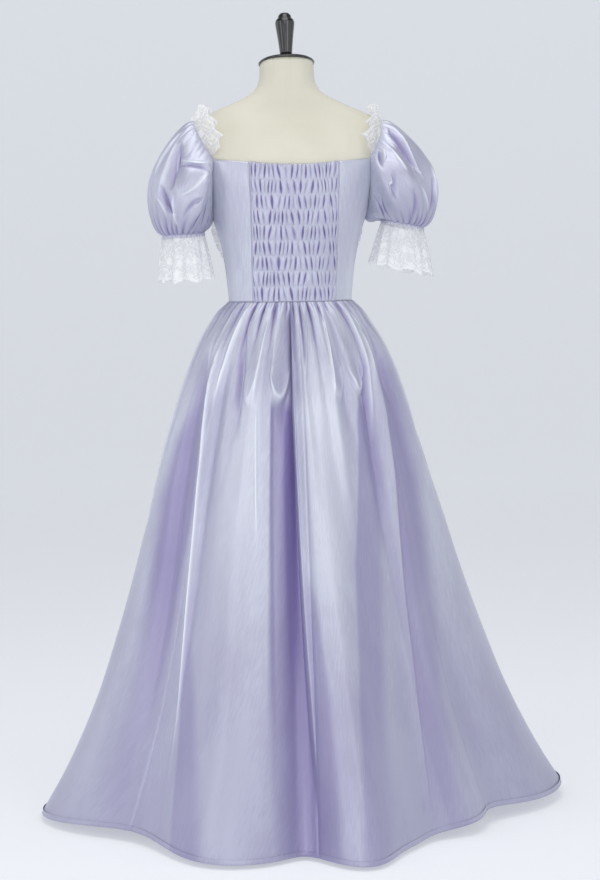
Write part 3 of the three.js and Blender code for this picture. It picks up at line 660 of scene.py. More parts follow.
# Folds over the puffs, each along a line from one place to another. A place is a share round the sleeve
# and a share down it; width is half the fold's own, in millimetres, and out is how far it stands out.
PINCHES = {"left": [
    [0.108, 0.18, 0.15, 0.56, 7.5, -9], [0.114, 0.2, 0.178, 0.55, 1.6, 4],
    [0.085, 0.2, 0.1, 0.62, 5, 4], [0.105, 0.6, 0.185, 0.8, 7.5, -9],
    [0.085, 0.68, 0.15, 0.86, 3, 4], [0.145, 0.27, 0.25, 0.05, 3, 6],
    [0.15, 0.33, 0.262, 0.14, 6, -5], [0.2, 0.58, 0.255, 0.2, 5, 4],
    [0.225, 0.8, 0.275, 0.45, 4, -4], [0.165, 0.62, 0.215, 0.95, 3, 5],
    [0.28, 0.95, 0.31, 0.55, 3, -6], [0.33, 0.25, 0.36, 0.8, 3.5, -7], [0.39, 0.25, 0.41, 0.85, 4, -7],
    [0.03, 0.35, 0.045, 0.85, 5, -5], [0.06, 0.1, 0.055, 0.55, 4, 5], [0.6, 0.2, 0.63, 0.8, 6, -6],
    [0.7, 0.1, 0.72, 0.6, 7, -8], [0.74, 0.2, 0.77, 0.9, 3, 5], [0.82, 0.1, 0.8, 0.7, 7, -8],
    [0.88, 0.3, 0.9, 0.9, 4, 5], [0.95, 0.05, 0.96, 0.6, 6, -6],
], "right": [
    [0.1, 0.03, 0.15, 0.44, 9.5, -12], [0.165, 0.36, 0.13, 0.55, 1.8, 4],
    [0.072, 0.05, 0.14, 0.5, 2.2, 5], [0.138, 0.08, 0.17, 0.46, 2.2, 4],
    [0.17, 0.1, 0.185, 0.36, 3.5, 6], [0.24, 0.3, 0.285, 0.55, 1.8, 5],
    [0.225, 0.3, 0.262, 0.62, 5, -4], [0.095, 0.6, 0.12, 0.88, 5, -8],
    [0.075, 0.45, 0.085, 0.85, 3.5, 5], [0.13, 0.88, 0.165, 0.6, 3, 5],
    [0.205, 0.03, 0.245, 0.16, 4, -7], [0.19, 0.03, 0.225, 0.14, 2.5, 5],
    [0.33, 0.3, 0.35, 0.85, 4, -7], [0.38, 0.15, 0.4, 0.8, 4, -8], [0.43, 0.2, 0.43, 0.7, 3, 4],
    [0.2, 0.6, 0.23, 0.93, 4, -5], [0.03, 0.2, 0.04, 0.7, 6, -6], [0.6, 0.2, 0.62, 0.8, 6, -6],
    [0.69, 0.1, 0.71, 0.6, 7, -8], [0.75, 0.2, 0.77, 0.9, 3, 5], [0.83, 0.1, 0.81, 0.7, 7, -9],
    [0.89, 0.3, 0.9, 0.9, 4, 5], [0.95, 0.05, 0.96, 0.6, 6, -6],
]}
# A sleeve's rough size round and down, which turns the shares into lengths
SLEEVE_ROUND = 560.0
SLEEVE_DOWN = 215.0
HEAD_GATHERS = 34
CUFF_GATHERS = 28


def pinches(rows, across, down):
    """How far the folds along their lines stand out and sink in, each tapered towards its two ends."""
    risen, sunk = 0, 0
    scale = np.array([SLEEVE_ROUND, SLEEVE_DOWN])
    for k, row in enumerate(rows):
        width, out = row[4:]
        start = np.array(row[:2]) * scale
        run = np.array(row[2:4]) * scale - start
        length = np.hypot(*run)
        x = across * SLEEVE_ROUND - start[0]
        y = down * SLEEVE_DOWN - start[1]
        along = (x * run[0] + y * run[1]) / length ** 2
        bow = 0.06 * length * np.sin(math.pi * np.clip(along, 0, 1)) * (1 if k % 2 else -1)
        aside = (x * run[1] - y * run[0]) / length + bow
        taper = np.sin(math.pi * np.clip(mix(0.06, 0.94, along), 0, 1)) ** 0.8
        fold = out * taper * peak(aside, width * (0.45 + 0.55 * taper))
        if out > 0:
            risen = risen + fold
        else:
            sunk = sunk + fold
    return risen, sunk


def uneven(across):
    """A share round the sleeve, a little ahead or behind, so that its gathers aren't all alike."""
    return across + 0.006 * np.sin(2 * math.pi * 5 * across) + 0.004 * np.sin(2 * math.pi * 11 * across)


def cuff_puckers(across):
    return np.abs(np.sin(math.pi * CUFF_GATHERS * uneven(across) + 1))


def sleeve_points(sleeve, across, down, extra):
    angle = 2 * math.pi * across
    head, cuff = sleeve_head(across), cuff_point(sleeve, across)
    outer, under = np.maximum(0, np.cos(angle)), np.maximum(0, -np.cos(angle))
    sideways = -0.956 * outer - 0.12 * (1 - outer) * (under <= 0)
    away = unit(stack(sideways, np.sin(angle), 0.3 * outer - 0.9 * under))
    bulge = np.sin(math.pi * np.clip(down, 0, 1)) ** 0.6 * (0.85 + 0.3 * down)
    folds = 1 + 0.07 * np.cos(2 * math.pi * SLEEVE_FOLDS * across + 2) * bulge
    out = sleeve["puff"] * puff_out(across) * bulge * folds * mix(1, 1 - down, under)
    extra = extra * between(down, 0, 0.06) * between(down, 1, 0.95)
    on_armhole = between(across, 0.22, 0.27) * between(across, 0.78, 0.73)
    length = 0.5 + 0.3 * np.sin(2 * math.pi * 7 * across + 1) + 0.2 * np.sin(2 * math.pi * 17 * across)
    head_gathers = np.abs(np.sin(math.pi * HEAD_GATHERS * uneven(across))) ** 0.6 - 0.65
    near_head = np.exp(-down / (0.05 + 0.06 * length)) * between(down, 0, 0.02)
    extra = extra + 5 * head_gathers * near_head * (1 - 0.75 * on_armhole)
    near_cuff = np.exp(-(1 - down) / (0.06 + 0.08 * length)) * between(down, 1, 0.985)
    extra = extra + 8 * (cuff_puckers(across) ** 0.6 - 0.65) * near_cuff
    out = out + extra * mix(1, 0.4, under)
    return head * (1 - down)[..., None] + cuff * down[..., None] + away * out[..., None]


def build_sleeves():
    for sleeve in SLEEVES:
        columns, rows = SLEEVE_COLUMNS, SLEEVE_ROWS
        across = (np.arange(columns) / columns)[None, :] + np.zeros((rows, 1))
        share = np.linspace(0, 1, rows)[:, None]
        down = mix(share, 0.5 - 0.5 * np.cos(math.pi * share), 0.75) + 0 * across
        risen, sunk = pinches(PINCHES[sleeve["name"]], across, down)
        points = mirrored(sleeve_points(sleeve, across, down, risen + sunk), sleeve["side"])
        # masks for the painted shade between the cuff's puckers and on the sleeve's underside
        puckers = np.clip(1.5 * (1 - cuff_puckers(across)) ** 1.2 * np.exp(-(1 - down) / 0.1), 0, 1)
        under = between(across, 0.36, 0.5) * between(across, 0.64, 0.5)
        turned_in = points[:1] * np.array([0.985, 0.985, 1])
        points = np.concatenate([turned_in, points])
        puff = grid_mesh("puff_" + sleeve["name"], points, closed=True, flip=sleeve["side"] < 0)
        # painted shade: darker in the hollows of the folds, between the cuff's puckers, on the sleeve's
        # underside and towards the cuff
        shade = np.clip(-sunk / 8.5, 0, 0.85) + 0.85 * puckers
        shade = shade + 0.6 * under * down + 0.2 * between(down, 0.7, 1)
        attribute(puff, "painted_shade", np.concatenate([shade[:1], shade]))
        # painted highlight along the folds that stand out
        highlight_share = np.clip(risen / 7, 0, 0.8)
        attribute(puff, "painted_highlight", np.concatenate([highlight_share[:1], highlight_share]))
        # the elastic band and the narrow frill of satin under it
        ring = (np.arange(columns) / columns)[None, :]
        steps = np.array([0, 0.25, 0.5, 0.75, 1.0])[:, None]
        ruffle = cuff_puckers(ring) - 0.5
        radius = CUFF_RADIUS - 0.3 + 3 * ruffle * steps + 1.2 * np.sin(math.pi * steps)
        band = mirrored(cuff_point(sleeve, ring + 0 * steps, radius, 9 * steps - 1.5), sleeve["side"])
        frill = grid_mesh("band_" + sleeve["name"], band, closed=True, flip=sleeve["side"] < 0)
        piece = joined("sleeve_puff_" + sleeve["name"], [puff, frill])
        finish_piece(piece, SATIN, "lavender_satin", "sleeve_" + sleeve["name"])


def build_cuff_lace():
    for sleeve in SLEEVES:
        columns, rows = SLEEVE_COLUMNS, CUFF_LACE_ROWS
        across = (np.arange(columns) / columns)[None, :] + np.zeros((rows, 1))
        down = np.linspace(0, 1, rows)[:, None] + 0 * across
        phase = 2 * math.pi * CUFF_WAVES * across + 1.3 * np.sin(4 * math.pi * across)
        wave = np.cos(phase) + 0.28 * np.cos(2 * phase + 1 + 2 * down) + 0.12 * np.cos(3.1 * phase)
        radius = mix(CUFF_RADIUS - 1.5, sleeve["lace"], down ** 0.7) + 6 * down * wave
        radius = radius + 1.2 * (np.abs(np.sin(math.pi * 40 * across)) - 0.5) * np.exp(-down / 0.12)
        scallop = 2.2 * np.abs(np.cos(math.pi * 44 * across)) - 1.2
        sway = 3.5 * np.cos(phase + 0.8) - 3.5 * np.cos(2 * math.pi * across) ** 2
        drop = 0.5 + CUFF_LACE_DROP * down + scallop * between(down, 0.9, 1) + sway * between(down, 0.2, 1)
        points = cuff_point(sleeve, across, radius, drop)
        points[..., 0] += 4 * down
        ring = 2 * math.pi * sleeve["lace"] * 1.15 * MM
        wide = np.linspace(0, 1, columns + 1)[None, :] * ring + np.zeros((rows, 1))
        deep = np.linspace(0, CUFF_LACE_DROP * MM, rows)[:, None] + 0 * wide
        piece = grid_mesh("cuff_frill_" + sleeve["name"], mirrored(points, sleeve["side"]), closed=True,
                          uv=np.stack([wide, deep], axis=-1), flip=sleeve["side"] < 0)
        attribute(piece, "rim", between(down, 0.93, 0.97))
        finish_piece(piece, LACE_NET, "white_lace", "cuff_lace_" + sleeve["name"])


# Lace frills along the neckline and the front princess seams
NECK_FRILL = table("along rise width", [
    [0, 22, 38], [0.14, 18, 52], [0.3, 18, 50], [0.42, 20, 38], [0.55, 24, 34], [0.75, 26, 38], [1, 34, 28],
])
FRONT_FRILL = table("z width", [
    [1010, 18], [1060, 30], [1110, 43], [1150, 45], [1175, 28], [1200, 14], [1226, 9],
])


def rising_from(turn, z, run, angle):
    around = form_point(turn + 0.5, z) - form_point(turn - 0.5, z)
    upward = form_point(turn, z + 1) - form_point(turn, z - 1)
    out = unit(np.cross(around, upward))
    along = unit(np.cross(run, out))
    return along * np.cos(rad(angle))[..., None] + out * np.sin(rad(angle))[..., None]


def frill_sheet(name, edge, direction, width, waves, swing, side, node_name, columns=320, rows=18):
    along = np.linspace(0, 1, columns)
    step = 0.01
    run = edge(np.minimum(1, along + step)) - edge(np.maximum(0, along - step))
    towards = unit(direction(along))
    facing = unit(np.cross(run, towards))
    root = edge(along)
    out = np.linspace(0, 1, rows)[:, None]
    phase = 2 * math.pi * waves * along[None, :]
    wave = np.cos(phase) + 0.3 * np.cos(2.0 * phase + 0.8 + 1.5 * out) + 0.16 * np.sin(3.3 * phase)
    curl = swing * out * wave * 0.9
    scallops = max(6, int(round(waves * 3)))
    scallop = np.abs(np.cos(math.pi * scallops * along))[None, :] - 0.6
    reach = width(along)[None, :] * (out + 0.05 * scallop * out ** 6)
    sway = -0.8 * swing * np.sin(2 * phase + 0.4) * out ** 1.3
    points = root[None] + towards[None] * reach[..., None] + facing[None] * curl[..., None]
    points = points + unit(run)[None] * sway[..., None]
    length = np.linalg.norm(np.diff(root, axis=0), axis=-1).sum() * 1.3 * MM
    wide = along[None, :] * length + 0 * out
    deep = reach * MM
    piece = grid_mesh(name, mirrored(points, side), uv=np.stack([wide, deep], axis=-1))
    attribute(piece, "rim", between(out + 0 * along[None, :], 0.86, 0.94))
    finish_piece(piece, LACE_NET, "white_lace", node_name)


def build_frills():
    rise = curve(NECK_FRILL, "along", "rise")
    neck_width = curve(NECK_FRILL, "along", "width")
    front_width = curve(FRONT_FRILL, "z", "width")

    def neck_share(along):
        return mix(1.24, 0.76, along)

    def neck_direction(along):
        share = neck_share(along) - np.floor(neck_share(along))
        run = sleeve_head(neck_share(along) + 0.01) - sleeve_head(neck_share(along) - 0.01)
        return rising_from(head_turn(share), head_z(share), run, rise(along))

    def neck_edge(along):
        return sleeve_head(neck_share(along)) + neck_direction(along) * 0.9

    def front_z(along):
        return mix(FRONT_CORNER_Z - 14, WAIST_Z + 8, along)

    for sleeve in SLEEVES:
        side, label = sleeve["side"], sleeve["name"]
        frill_sheet(
            "neck_frill_" + label, neck_edge, neck_direction, neck_width,
            NECK_WAVES, 8.5, side, "neck_lace_" + label,
        )
        frill_sheet(
            "front_frill_" + label,
            lambda along: form_point(princess(front_z(along)), front_z(along), FRONT_EASE + CLOTH + 1.1),
            lambda along: np.array([-0.93, -0.36, 0]) + np.zeros((len(along), 3)),
            lambda along: front_width(front_z(along)) * sleeve["front"],
            FRONT_WAVES, 4, side, "front_lace_" + label,
        )

    def neckline(along):
        z = front_neck(along)
        return form_point(mix(princess(z) + 1, 359 - princess(z), along), z + 1.1, FRONT_EASE + CLOTH / 2)

    frill_sheet(
        "neck_frill_front", neckline,
        lambda along: stack(0.3 * (2 * along - 1), -0.45 + 0 * along, 0.85 + 0 * along),
        lambda along: 26 + 0 * along,
        FRONT_NECK_WAVES, 4.5, 1, "neck_lace_front", columns=400,
    )


# The skirt
SKIRT = table("z halfWidth back front roundness", [
    [8, 496, 432, 425, 2], [86, 452, 405, 398, 2], [166, 414, 376, 368, 2], [246, 382, 346, 338, 2],
    [326, 356, 318, 310, 2], [406, 332, 291, 283, 2], [486, 310, 266, 258, 2], [566, 290, 243, 236, 2],
    [646, 270, 221, 215, 2], [726, 247, 200, 195, 2], [806, 221.5, 178, 175, 2.02],
    [846, 207.5, 166, 163, 2.04], [886, 193, 152, 150, 2.07], [926, 175, 136, 135, 2.1],
    [966, 151, 115, 115, 2.15], [988, 137, 100, 102, 2.18], [1003.6, 122.6, 87.1, 89.1, 2.2],
])
skirt_half_width, skirt_back, skirt_front, skirt_roundness = curves(
    SKIRT, "z", "halfWidth back front roundness",
)
# Big waves of the hem: turn high up and low down, half width, how far out, and where they start
LOBES = [
    [-84, -88, 18, 14, 0.2], [-55, -55, 17, -50, 0.15], [-27, -23, 15, 66, 0.12], [-6, -5, 6, -34, 0.02],
    [6, 7, 9, 92, 0.1], [38, 34, 11, -48, 0.1], [60, 60, 13, -60, 0.2], [95, 98, 18, 62, 0.2],
    [128, 130, 12, -30, 0.15], [148, 148, 11, 48, 0.15], [170, 170, 12, -34, 0.1], [191, 191, 12, 46, 0.12],
    [214, 213, 12, -32, 0.15], [234, 236, 12, 44, 0.15], [254, 252, 11, -30, 0.2],
]
# Folds under the waist: turn high up and low down, half width, how far out, start and end
FOLDS = [
    [-70, -72, 5, 9, 0.02, 0.5], [-61, -47, 3.2, 13, 0.03, 0.95], [-52, -52, 5, -12, 0.04, 0.6],
    [-41, -42, 4, -13, 0.03, 0.42], [-31, -30, 3.5, 12, 0.04, 0.45], [-21, -19, 4, 12, 0.02, 0.32],
    [-13, -12, 4, -9, 0.05, 0.28], [-5.5, -4, 2.6, -8, 0.01, 0.5], [1, 2, 3, 11, 0.02, 0.85],
    [10, 10, 4, 8, 0.03, 0.3], [18, 20, 3.5, 13, 0.03, 0.5], [27, 29, 4.5, -9, 0.03, 0.35],
    [34, 35, 3.5, 10, 0.04, 0.28], [41, 40, 4, -14, 0.05, 0.75], [52, 50, 4, 11, 0.03, 0.6],
    [61, 64, 5, -10, 0.03, 0.5], [73, 74, 5, 10, 0.02, 0.5], [85, 86, 5, -9, 0.03, 0.45],
    [98, 100, 5, 10, 0.03, 0.5], [111, 113, 5, -9, 0.03, 0.5], [123, 122, 5, 10, 0.02, 0.4],
    [136, 138, 5, -10, 0.03, 0.5], [150, 150, 5, 10, 0.03, 0.45], [163, 161, 5, -9, 0.03, 0.5],
    [177, 179, 5, 11, 0.02, 0.5], [190, 190, 5, -9, 0.03, 0.4], [203, 201, 5, 10, 0.03, 0.5],
    [217, 218, 5, -10, 0.03, 0.45], [230, 230, 5, 10, 0.02, 0.5], [243, 245, 5, -9, 0.03, 0.45],
    [256, 255, 5, 10, 0.03, 0.5], [269, 270, 5, -9, 0.03, 0.5], [280, 280, 5, 10, 0.03, 0.45],
]
# Where the hem lifts: turn, half width and how far
HEM_LIFT = [[-60, 22, 14], [55, 20, 20], [98, 26, 18]]
# Sharp creases and crests along lines down the skirt, in the columns of FOLDS
CREASES = [
    [-61.2, -44.6, 0.75, 7, 0.06, 0.93], [-70, -59, 4.5, -11, 0.08, 0.95], [-62.5, -66, 1, 4, 0, 0.13],
    [-72, -66, 1.2, 4, 0.02, 0.16], [-50, -56.5, 1.5, 7, 0, 0.21], [-46, -37, 2.2, -8, 0.05, 0.29],
    [-27.6, -29.8, 1.1, 6, 0.03, 0.21], [-32, -21.5, 0.8, 6, 0.195, 0.46], [-5.8, -7, 1.7, -13, 0, 0.14],
    [-6.9, -1.1, 0.6, 3.5, 0, 0.95], [8.6, 1.2, 0.9, 3, 0, 0.17], [26, 18.5, 1.2, 6, 0, 0.2],
    [31, 30, 1.6, -5, 0, 0.14], [52, 43, 1.2, 5, 0, 0.28], [59, 50, 1.5, 5, 0, 0.17],
    [66, 62, 1.4, -6, 0.02, 0.24], [78, 74, 1.6, 6, 0, 0.3], [101, 96, 1.4, 5, 0, 0.5],
    [118, 124, 1.2, 6, 0.04, 0.8], [141, 138, 1, 6, 0, 0.7], [156, 160, 1.6, -8, 0.02, 0.6],
    [172, 168, 1, 6, 0, 0.35], [185, 192, 0.9, 6, 0.05, 0.85], [199, 196, 1.5, -8, 0, 0.4],
    [222, 226, 1, 6, 0, 0.6], [238, 244, 1.6, -7, 0.05, 0.75], [262, 258, 1.2, 6, 0, 0.8],
]
# Folds that lap over their neighbour: the cloth drops in at an edge and comes back out over fade degrees,
# on the side of the higher turns where side is 1, and of the lower where it is -1. Each row says the turn
# high up and low down, edge, fade, how far out, side, start and end
LAPS = [
    [58, 33, 0.45, 6, -10, 1, 0.09, 0.985], [-7.4, -1.6, 0.5, 7, -15, -1, 0, 0.97],
    [-7.4, -1.6, 0.5, 6, 12, 1, 0.16, 0.97], [-20.4, -12.6, 1.3, 5, -7, 1, 0.17, 0.9],
    [44.5, 40, 0.6, 5, -8, 1, 0.12, 0.36], [205, 214, 0.5, 6, -9, 1, 0.08, 0.9],
    [149, 143, 0.5, 6, -9, -1, 0.1, 0.85],
]
# Folds that end in a soft rounded pouch: its middle, half width, depth, bow, start and end
POUCHES = [
    [-14.4, 6.6, 9, 0.05, 0.03, 0.19], [38.8, 7, 8, 0.055, 0.03, 0.185],
    [-33.5, 4.5, 5, 0.05, 0.03, 0.195], [24, 6, 4, 0.04, 0.03, 0.19], [166, 7, 7, 0.05, 0.03, 0.18],
    [212, 6, 6, 0.05, 0.03, 0.2],
]


def hem_z(turn):
    lift = 0
    for middle, width, rise in HEM_LIFT:
        lift = lift + rise * bell(turn_between(middle, turn), width)
    return HEM_Z + lift


def skirt_base(turn, z):
    s, c = np.abs(np.sin(rad(turn))), np.cos(rad(turn))
    depth = np.where(c >= 0, skirt_back(z), skirt_front(z))
    n = skirt_roundness(z)
    return ((s / skirt_half_width(z)) ** n + (np.abs(c) / depth) ** n) ** (-1 / n)


def skirt_folds(turn, fall):
    total = 0
    for high, low, width, out, start in LOBES:
        grown = np.clip((fall - start) / (1 - start), 0, 1) ** 1.15
        total = total + out * grown * bell(turn_between(mix(high, low, fall), turn), width)
    for high, low, width, out, start, end in FOLDS:
        shown = between(fall, start, start + 0.14) * (1 - between(fall, mix(start, end, 0.45), end))
        total = total + FOLD_SHARE * out * shown * bell(turn_between(mix(high, low, fall / end), turn), width)
    return total


def shown_between(fall, start, end):
    return between(fall, start - 0.01, start + 0.05) * (1 - between(fall, mix(start, end, 0.6), end))


def skirt_gathers(turn, fall):
    """Sharp uneven gathers under the waist seam."""
    wander = turn + 2.2 * np.sin(rad(5 * turn)) + 1.4 * np.sin(rad(11 * turn + 40))
    wave = np.abs(np.cos(rad(GATHERS / 2 * wander)))
    small = np.abs(np.cos(rad(47 * turn + 60 * np.sin(rad(13 * turn)))))
    reach = 0.048 + 0.022 * np.sin(rad(7 * turn + 20)) + 0.016 * np.sin(rad(17 * turn + 80))
    strength = GATHER_DEPTH * mix(0.3, 1.3, between(fall, 0, 0.02)) * np.exp(-(fall / reach) ** 1.3)
    fine = 2.6 * np.exp(-(fall / (0.45 * reach)) ** 1.3) * (small ** 0.5 - 0.7)
    return strength * 2 * (wave ** 0.5 - 0.74) + fine


def pouch(turn, fall, middle, width, bow, end):
    """Where a place lies across a pouch, how far past its foot, and how far inside its round outline."""
    away = turn_between(middle, turn) / width
    return away, fall - (end - bow * away ** 2), np.clip(1 - away ** 2, 0, 1) ** 0.5


def skirt_details(turn, fall):
    """How far the gathers, creases, laps and pouches stand out."""
    total = skirt_gathers(turn, fall)
    for high, low, width, out, start, end in CREASES:
        away = turn_between(mix(high, low, fall / end), turn)
        total = total + out * shown_between(fall, start, end) * peak(away, width)
    for high, low, edge, fade, out, side, start, end in LAPS:
        away = turn_between(mix(high, low, fall / end), turn) * side
        drop = between(away, -edge, edge) * np.exp(-np.maximum(away, 0) / fade)
        total = total + out * shown_between(fall, start, end) * drop
    for middle, width, out, bow, start, end in POUCHES:
        away, past, inside = pouch(turn, fall, middle, width, bow, end)
        hang = between(fall, start, end - 0.02) ** 1.5
        cut = 1 - between(past, -0.010, 0.008)
        rim = 0.35 * peak(past + 0.016, 0.007) * inside
        total = total + out * (inside * hang * cut * (0.55 + 0.45 * away ** 2) + rim * cut)
    return total


def skirt_points(turn, fall):
    z = mix(WAIST_Z - 0.2, hem_z(turn), fall)
    radius = skirt_base(turn, z) + skirt_folds(turn, fall) + skirt_details(turn, fall)
    return stack(-radius * np.sin(rad(turn)), radius * np.cos(rad(turn)), z)


# Each gore's name, its node, its first and last turn, and its columns of points
GORES = [
    ("gore_back_right", "skirt_back_right", 0, 56, 230),
    ("gore_side_right", "skirt_side_right", 56, 116, 120),
    ("gore_front", "skirt_front", 116, 244, 220),
    ("gore_side_left", "skirt_side_left", 244, 304, 120),
    ("gore_back_left", "skirt_back_left", 304, 360, 230),
]
GORE_ROWS = 200
# How far the centre back seam leans, in degrees, and what share of their tables' depth the folds keep
SEAM_LEAN = -2.2
FOLD_SHARE = 0.7
# The hem's turned-up edge: how far in and how far up, in millimetres
HEM_TURNED_UP = [(0.7, -0.5), (1.5, 0.4), (1.8, 5), (2.1, 9)]


# Shaded sides of the folds: at falls from waist to hem, the shade's two edges and its depth
SHADES = [
    (1.6, 0.4, [[0.18, -13, -6.9, 0], [0.21, -12, -6.8, 1], [0.334, -12.5, -5.2, 1], [0.48, -11.2, -4.4, 1],
                [0.624, -10.2, -3.5, 0.95], [0.73, -9.2, -2.8, 0.7], [0.868, -8.8, -2, 0.6],
                [1, -8, -1.8, 0.5]]),
    (0.5, 1.6, [[0.185, -19.5, -12, 0], [0.2, -19.4, -12, 0.6], [0.334, -18.2, -12, 0.6],
                [0.48, -16.5, -11, 0.6], [0.622, -15.2, -10.2, 0.55], [0.726, -14.2, -9.2, 0.4],
                [0.864, -13.2, -8.8, 0.2], [1, -12, -8.5, 0.1]]),
    (0.5, 1.0, [[0.48, -4, -2.8, 0], [0.55, -3.8, 0.5, 0.4], [0.724, -2.5, 2.5, 0.45], [1, -2, 2.2, 0.45]]),
    (5, 3, [[0.1, -69, -63, 0], [0.19, -68.5, -58.5, 0.5], [0.266, -75, -57, 0.65], [0.38, -77, -55.5, 0.75],
            [0.5, -74.5, -58, 0.75], [0.65, -70, -58.5, 0.55], [0.85, -66, -61, 0.2], [1, -66, -61, 0.1]]),
    (0.8, 3, [[0.45, -52, -49, 0], [0.642, -50.5, -47, 0.4], [0.745, -47.5, -39, 0.5], [0.85, -43, -33, 0.5],
              [1, -38, -28, 0.45]]),
    (1.0, 4, [[0.18, 36, 45, 0], [0.21, 33.8, 45, 0.65], [0.268, 31.8, 44.5, 0.65], [0.345, 27, 44, 0.55],
              [0.49, 18.5, 35.2, 0.5], [0.6, 14.6, 29, 0.5], [0.73, 10.2, 22.5, 0.5], [0.85, 8, 17, 0.4],
              [1, 6, 14, 0.35]]),
    (0.3, 6, [[0.1, 68, 73, 0], [0.14, 62, 72, 0.5], [0.236, 51, 68.5, 0.6], [0.34, 48.8, 67.2, 0.65],
              [0.51, 45, 63.2, 0.6], [0.66, 41.4, 59, 0.45], [0.77, 38.6, 50, 0.35], [0.94, 33.8, 42, 0.15],
              [1, 33, 40, 0]]),
    (0.6, 1.5, [[0.09, 45.5, 48, 0], [0.128, 44, 48.5, 0.6], [0.194, 41.5, 47, 0.6], [0.26, 38, 44, 0.2]]),
    (0.8, 0.8, [[0.09, -45, -43, 0], [0.12, -44.8, -42.8, 0.6], [0.19, -43.5, -41, 0.5],
                [0.25, -38, -35.2, 0]]),
    (0.4, 0.4, [[0, -7.6, -6.6, 1], [0.1, -7.8, -6.4, 0.9], [0.19, -7.6, -6.6, 0.7], [0.22, -7.4, -6.6, 0]]),
]


# The broad lit panels between the folds, listed in the same way
LIT = [
    (5, 6, [[0.1, -1, 22, 0], [0.2, -1, 22, 0.34], [0.36, 0, 20, 0.3], [0.5, 1, 15, 0.16], [0.66, 2, 12, 0]]),
    (5, 6, [[0.1, -42, -22, 0], [0.22, -42, -23, 0.34], [0.38, -42, -22, 0.3], [0.52, -42, -20, 0.14],
            [0.68, -40, -20, 0]]),
]


def shades(turn, fall, bands=SHADES):
    """How shaded a place on the skirt's back is, from 0 to 1, by the folds listed above."""
    turn = turn_between(0, turn)
    lit = 1
    for fade_low, fade_high, rows in bands:
        falls, low, high, depth = np.array(rows, dtype=float).T
        first, last = np.interp(fall, falls, low), np.interp(fall, falls, high)
        inside = between(turn, first - fade_low, first + fade_low)
        inside = inside * (1 - between(turn, last - fade_high, last + fade_high))
        lit = lit * (1 - inside * np.interp(fall, falls, depth, left=0))
    return 1 - lit


def painted_shade_on_skirt(turn, fall):
    """How much painted shade a place on the skirt gets, from 0 to 1: the shaded bands listed above, the
    hollows between the folds and their steep sides, the troughs of the gathers under the waist, and the lower
    skirt.
    """
    total = 0
    here = skirt_folds(turn, fall) + skirt_details(turn, fall) * 0.8
    for away in (-9, -5, 5, 9):
        total = total + skirt_folds(turn + away, fall) / 4
    reach = mix(5, 26, fall)
    valley = np.clip((total - here) / reach, 0, 1)
    step = 0.25
    ahead = skirt_folds(turn + step, fall) + skirt_details(turn + step, fall) * 0.8
    run = rad(step) * mix(110, 480, fall)
    slope = ((ahead - here) / run) ** 2
    # painted shade in the valleys between folds and on their steep sides, stronger on the sides away from the
    # back
    found = np.clip(0.75 * valley + 0.45 * slope / (1 + slope), 0, 0.9)
    hidden = between(np.abs(turn_between(0, turn)), 60, 90)
    seam = 1 + 1.6 * between(fall, 0.025, 0)
    # painted shade in the troughs of the gathers, deepest at the waist seam
    gathered = np.clip(0.05 - skirt_gathers(turn, fall) * seam / 4, 0, 0.9) * between(fall, 0.15, 0.1)
    # painted shade, darker towards the hem
    lower = 0.3 * between(fall, 0.4, 0.9)
    return 1 - (1 - shades(turn, fall)) * (1 - found * mix(0.35, 0.85, hidden)) * (1 - gathered) * (1 - lower)


def crests(turn, fall):
    """How much painted highlight a place on the skirt gets, from 0 to 1: the broad lit panels listed above,
    the sharp bright edges of its creases and the rims of its pouches.
    """
    highlight_share = shades(turn, fall, LIT)
    for high, low, width, out, start, end in CREASES:
        shown = shown_between(fall, start, end)
        away = turn_between(mix(high, low, fall / end), turn)
        highlight_share = highlight_share + max(0, out - 2.5) / 4.5 * shown * peak(away, width * mix(0.9, 0.5, fall))
    for middle, width, out, bow, start, end in POUCHES:
        _, past, inside = pouch(turn, fall, middle, width, bow, end)
        highlight_share = highlight_share + 0.75 * out / 9 * peak(past + 0.012, 0.006) * inside
    return np.clip(highlight_share, 0, 0.85)


def build_skirt():
    for name, node_name, start, end, columns in GORES:
        across = np.linspace(0, 1, columns)[None, :]
        share = np.linspace(0, 1, GORE_ROWS)[:, None]
        fall = (0.35 * share + 0.65 * share ** 1.6) + 0 * across
        lean = SEAM_LEAN * fall
        turn = mix(start + lean * (start == 0), end + lean * (end == 360), across)
        points = skirt_points(turn, fall)
        centre = points * np.array([0, 0, 1])
        inward = unit(centre - points)
        radius = np.linalg.norm(points[..., :2], axis=-1)
        edge_mm = np.minimum(across, 1 - across) * rad(end - start) * radius
        points = points + inward * (2.2 * np.exp(-(edge_mm / 2.2) ** 2))[..., None]
        # the hem is turned up inside, and its stitches draw a shallow line
        above = (1 - fall) * (WAIST_Z - HEM_Z)
        stitch = 0.5 * np.exp(-((above - 9) / 1.5) ** 2)
        points = points + inward * stitch[..., None]
        points = np.concatenate([points[:1] + 3 * inward[:1], points])
        last = points[-1:]
        inner = [last + inward[-1:] * depth + np.array([0, 0, height]) for depth, height in HEM_TURNED_UP]
        sheet = np.concatenate([points, *inner])
        piece = grid_mesh(name, sheet, flip=True)
        # painted shade and painted highlight for the satin's colour, carried on into the turned-up hem
        for layer, values in (("painted_shade", painted_shade_on_skirt(turn, fall)), ("painted_highlight", crests(turn, fall))):
            inside = np.repeat(values[-1:], len(inner), axis=0)
            attribute(piece, layer, np.concatenate([values[:1], values, inside]))
        finish_piece(piece, SATIN, "lavender_satin", node_name)


build_form()
build_bodice()
build_sleeves()
build_cuff_lace()
build_frills()
build_skirt()


# A round studio of pale paper, its light and the camera
STUDIO_GLOW = 0.52
AIR_GLOW = 0.22
PAPER_TINT = (0.83, 0.86, 0.92)
STUDIO_REACH = 10500.0
STUDIO_BEND = 3500.0
STUDIO_TOP = 6500.0
WHITE = (1, 1, 1)
